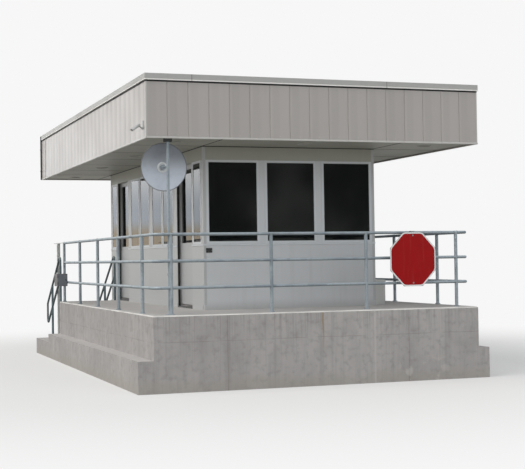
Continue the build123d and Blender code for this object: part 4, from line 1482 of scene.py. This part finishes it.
@dataclass
class Fittings:
    """The mirror, the sign, the camera and the boxes."""

    sign_size: float = 0.762
    sign_turn: float = math.radians(7)
    sign_border: float = 0.019
    sign_corner: float = 0.038
    bolt_height: float = 0.335
    face_setting: float = 0.0016
    bolt_setting: float = 0.0022
    mirror_turn: float = math.radians(-4)
    mirror_crown: Vector = field(default_factory=lambda: place(0.263, 0.409, 2.885))
    pole: Vector = field(default_factory=lambda: place(0.291, 0.259, 0.0))
    bracket: Vector = field(default_factory=lambda: Vector((0.054, 0.0315, 0.062)))
    camera_foot: Vector = field(default_factory=lambda: place(-0.070, 0.347, 3.441))
    camera_heading: float = math.radians(29)
    camera_tilt: float = math.radians(31)
    camera_length: float = 0.1565

    def build(self) -> None:
        """Dresses the fittings and adds their small parts."""
        dress(Finishes.MIRROR, "mirror")
        dress(Finishes.GALVANISED, "mirror_pole", "pole_clamps")
        dress(Finishes.ZINC, "stop_sign", "sign_bracket")
        dress(Finishes.CAMERA, "security_camera")
        dress(Finishes.CABINET, "equipment_cabinet")
        low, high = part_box("stop_sign")
        normal = Vector((math.sin(self.sign_turn), -math.cos(self.sign_turn), 0))
        self.sign_face((low + high) / 2 + normal * self.face_setting)
        self.sign_bolts((low + high) / 2 + normal * self.bolt_setting, normal)
        self.mirror_hub()
        self.pole_top()
        self.camera_lens()
        self.cabinet_parts()

    def sign_face(self, middle: Vector) -> None:
        """The octagon's white border and plain red field, laid on the metal plate.

        Args:
            middle: The middle of the face's back.
        """
        face = Bench.disc(self.sign_size / math.cos(math.pi / 8) / 2 - 0.001, 8)
        face.data.transform(Matrix.Rotation(math.pi / 8, 4, "Y"))
        Bench.edit(face, "VERT")
        bpy.ops.mesh.bevel(offset=self.sign_corner, segments=5, affect="VERTICES")
        Bench.edit(face)
        Bench.extrude(0, -0.0008, 0)
        bpy.ops.mesh.inset(thickness=self.sign_border)
        bpy.ops.object.mode_set(mode="OBJECT")
        Bench.finish("sign_face", [face], Finishes.SIGN_WHITE, "sign_face")
        face.data.materials.append(Finishes.SIGN_RED.material())
        inner = max(face.data.polygons, key=lambda item: item.area if item.normal.y < -0.9 else 0)
        inner.material_index = 1
        face.data.transform(Matrix.Translation(middle) @ Matrix.Rotation(self.sign_turn, 4, "Z"))

    def sign_bolts(self, middle: Vector, normal: Vector) -> None:
        """The two domed bolts that hold the sign, over and under its middle.

        Args:
            middle: The point between them.
            normal: The way they face.
        """
        steps = (self.bolt_height, -self.bolt_height)
        places = [facing(middle + DOWN * step, normal) for step in steps]
        bolts = Bench.copies(Bench.button(0.012, 0.006), places)
        Bench.finish("sign_bolts", bolts, Finishes.ZINC, "steel_parts", ROUND)

    def mirror_hub(self) -> None:
        """The pale rings round the mirror's hub and the band round its edge."""
        out = Vector((math.sin(self.mirror_turn), math.cos(self.mirror_turn), 0))
        crown = self.mirror_crown + out * 0.035
        rings = [
            Bench.copies(Bench.hoop(*sizes), [facing(crown - out * back, out, "Z")])[0]
            for sizes, back in (
                ((0.060, 0.013, 0.45), 0.010),
                ((0.040, 0.005, 0.9), 0.012),
                ((0.3205, 0.0045), 0.077),
            )
        ]
        Bench.finish("mirror_hub_ring", rings[:2], Finishes.HUB, "mirror_back", ROUND)
        Bench.finish("mirror_edge", rings[2:], Finishes.MIRROR_RIM, "mirror_back", ROUND)

    def pole_top(self) -> None:
        """The dark bracket that holds the top of the mirror's pole, and its two bolts."""
        x, y, depth = self.bracket
        middle = self.pole.copy()
        middle.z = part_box("mirror_pole")[1].z
        bracket = Bench.block((-x, x), (-y, y), (-depth, -0.0005), 0.003, middle)
        ends = [facing(middle + Vector((x, 0, 0.0001 - depth)), DOWN) for x in (-0.038, 0.038)]
        bolts = Bench.copies(Bench.button(0.009, 0.006, 16), ends)
        Bench.finish("pole_top_bracket", [bracket, *bolts], Finishes.DARK_METAL, "steel_parts")

    def camera_lens(self) -> None:
        """The dark lens at the camera's end."""
        turn = Matrix.Rotation(self.camera_heading, 3, "Z")
        aim = turn @ Matrix.Rotation(-self.camera_tilt, 3, "Y") @ Vector((-1, 0, 0))
        end = facing(self.camera_foot + aim * self.camera_length, aim)
        lens = Bench.copies(Bench.button(0.010, 0.003), [end])
        Bench.finish("camera_lens", lens, Finishes.OPTIC, "camera_case", ROUND)

    def cabinet_parts(self) -> None:
        """The cabinet's latch and hinges on its outer side."""
        low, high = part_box("equipment_cabinet")
        back, face = high.x - 0.009, high.x - 0.001
        middle = (low.z + high.z) / 2
        side, height = (low.y + 0.10, low.y + 0.125), (middle - 0.035, middle + 0.035)
        latch = Bench.block((back, face), side, height, 0.004, ORIGIN)
        side = (high.y - 0.05, high.y - 0.035)
        hinges = [
            Bench.block((back, face - 0.001), side, (z, z + 0.045), 0.002, ORIGIN)
            for z in (low.z + 0.08, high.z - 0.12)
        ]
        Bench.finish("cabinet_latch", [latch, *hinges], Finishes.DARK_METAL, "steel_parts")


@dataclass
class Studio:
    """The camera at the photograph's angle, the lights, the floor and the world."""

    location: Vector = field(default_factory=lambda: place(-3.953, -15.512, 1.631))
    yaw: float = 0.33918
    pitch: float = 0.020907
    roll: float = -0.01479
    lens: float = 84.07
    shift: float = -0.00151
    floor_size: float = 240.0

    def build(self) -> None:
        """Makes the camera, the lights, the floor and the world."""
        self.camera()
        self.sun("key_light", Vector((-0.88, -0.08, 0.85)), 1.86, 50.0, (1.0, 0.985, 0.96))
        fill = self.sun("fill_light", Vector((0.40, -0.88, 0.14)), 1.0, 60.0, (0.94, 0.97, 1.0))
        fill.visible_glossy = False
        self.floor()
        self.world()
        bpy.context.scene.view_settings.view_transform = "Standard"

    def camera(self) -> None:
        """The camera, looking along its yaw and pitch."""
        data = bpy.data.cameras.new("view_camera")
        data.lens = self.lens
        data.sensor_width = 36.0
        data.clip_end = 400.0
        data.shift_y = self.shift
        matrix = Matrix.Translation(self.location)
        for angle, axis in ((-self.yaw, "Z"), (QUARTER + self.pitch, "X"), (self.roll, "Z")):
            matrix = matrix @ Matrix.Rotation(angle, 4, axis)
        bpy.context.scene.camera = self.linked("view_camera", data, matrix)

    @staticmethod
    def linked(name: str, data: Any, matrix: Matrix) -> Piece:
        """A camera or light put in the scene.

        Args:
            name: Its name.
            data: Its data.
            matrix: Where it is.

        Returns:
            The object.
        """
        made = bpy.data.objects.new(name, data)
        made.matrix_world = matrix
        bpy.context.scene.collection.objects.link(made)
        return made

    @classmethod
    def sun(cls, name: str, towards: Vector, strength: float, angle: float, colour: Colour) -> Piece:
        """One broad distant light.

        Args:
            name: Name of the light.
            towards: Direction to the light.
            strength: Its strength.
            angle: How broad it is, in degrees.
            colour: Its colour.

        Returns:
            The light.
        """
        data = bpy.data.lights.new(name, "SUN")
        data.energy = strength
        data.angle = math.radians(angle)
        data.color = colour
        return cls.linked(name, data, towards.to_track_quat("Z", "Y").to_matrix().to_4x4())

    def floor(self) -> None:
        """A plain pale floor that fades into the background."""
        low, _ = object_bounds()
        middle = (0, 0, low.z - 0.001)
        floor = Bench.add(bpy.ops.mesh.primitive_plane_add, size=self.floor_size, location=middle)
        floor.name = floor.data.name = "studio_floor"
        graph = Graph("studio_floor")
        away = graph.node("VectorMath", {0: graph.position()}, "Value", operation="LENGTH")
        far = graph.between(away, 5.5, 12.5)
        seen = graph.node("LightPath", output="Is Camera Ray")
        tone = graph.mix(seen, rgb(178, 176, 172), rgb(232, 231, 229))
        pale = graph.node("BsdfDiffuse", {"Color": tone})
        white = graph.node("Emission", {"Color": (1.0, 1.0, 1.0), "Strength": 0.93})
        shader = graph.node("MixShader", {0: (0.3 + far * 0.7) * seen, 1: pale, 2: white})
        graph.node("OutputMaterial", {"Surface": shader})
        floor.data.materials.append(graph.owner)
        floor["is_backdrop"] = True

    @staticmethod
    def world() -> None:
        """Even light all round, a pale background, and a softer sky for reflections."""
        world = bpy.data.worlds.new("studio_world")
        bpy.context.scene.world = world
        graph = Graph("studio_world", world)
        direction = graph.node("TexCoord", output="Generated")
        side, depth, height = (graph.axis(axis, direction) for axis in "XYZ")
        sky = graph.mix(graph.between(height, 0.0, 0.35), (0.50, 0.49, 0.46), (0.72, 0.76, 0.80))
        leaves = graph.between(graph.noise(9.0, 6.0, direction), 0.4, 0.65)
        trees = graph.mix(leaves, (0.14, 0.15, 0.14), (0.56, 0.59, 0.55))
        bright = graph.layers(
            (1.25, 1.06, 0.82),
            (graph.between(height, 0.021, 0.034), (1.35, 1.46, 1.60)),
            (graph.between(height, 0.04, 0.075), (2.1, 2.14, 2.16)),
            (graph.between(height, 0.084, 0.096), (1.25, 1.23, 1.20)),
        )
        beyond = graph.between(depth, 0.6, 0.8) * graph.until(side, -0.15, 0.1)
        mirrored = graph.layers(
            sky,
            (graph.until(depth, -0.75, -0.2) * graph.until(height, 0.25, 0.6), trees),
            (beyond * graph.between(height, -0.01, 0.0), bright),
        )
        glossy, seen, through = (
            graph.node("LightPath", output=f"Is {kind} Ray")
            for kind in ("Glossy", "Camera", "Transmission")
        )
        lit = graph.layers(
            (0.45, 0.465, 0.48),
            (glossy, mirrored),
            (graph.math("MAXIMUM", seen, through), (0.93, 0.93, 0.93)),
        )
        background = graph.node("Background", {"Color": lit, "Strength": 1.0})
        graph.node("OutputWorld", {"Surface": background})


def main() -> None:
    """Builds every part in order."""
    logging.basicConfig(level=logging.INFO, format="%(name)s %(message)s")
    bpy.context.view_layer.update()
    for part in (Island(), Booth(), Doors(), Canopy(), Railing(), Fittings(), Studio()):
        part.build()
        log.info("%s is done", type(part).__name__)


if __name__ == "__main__":
    main()
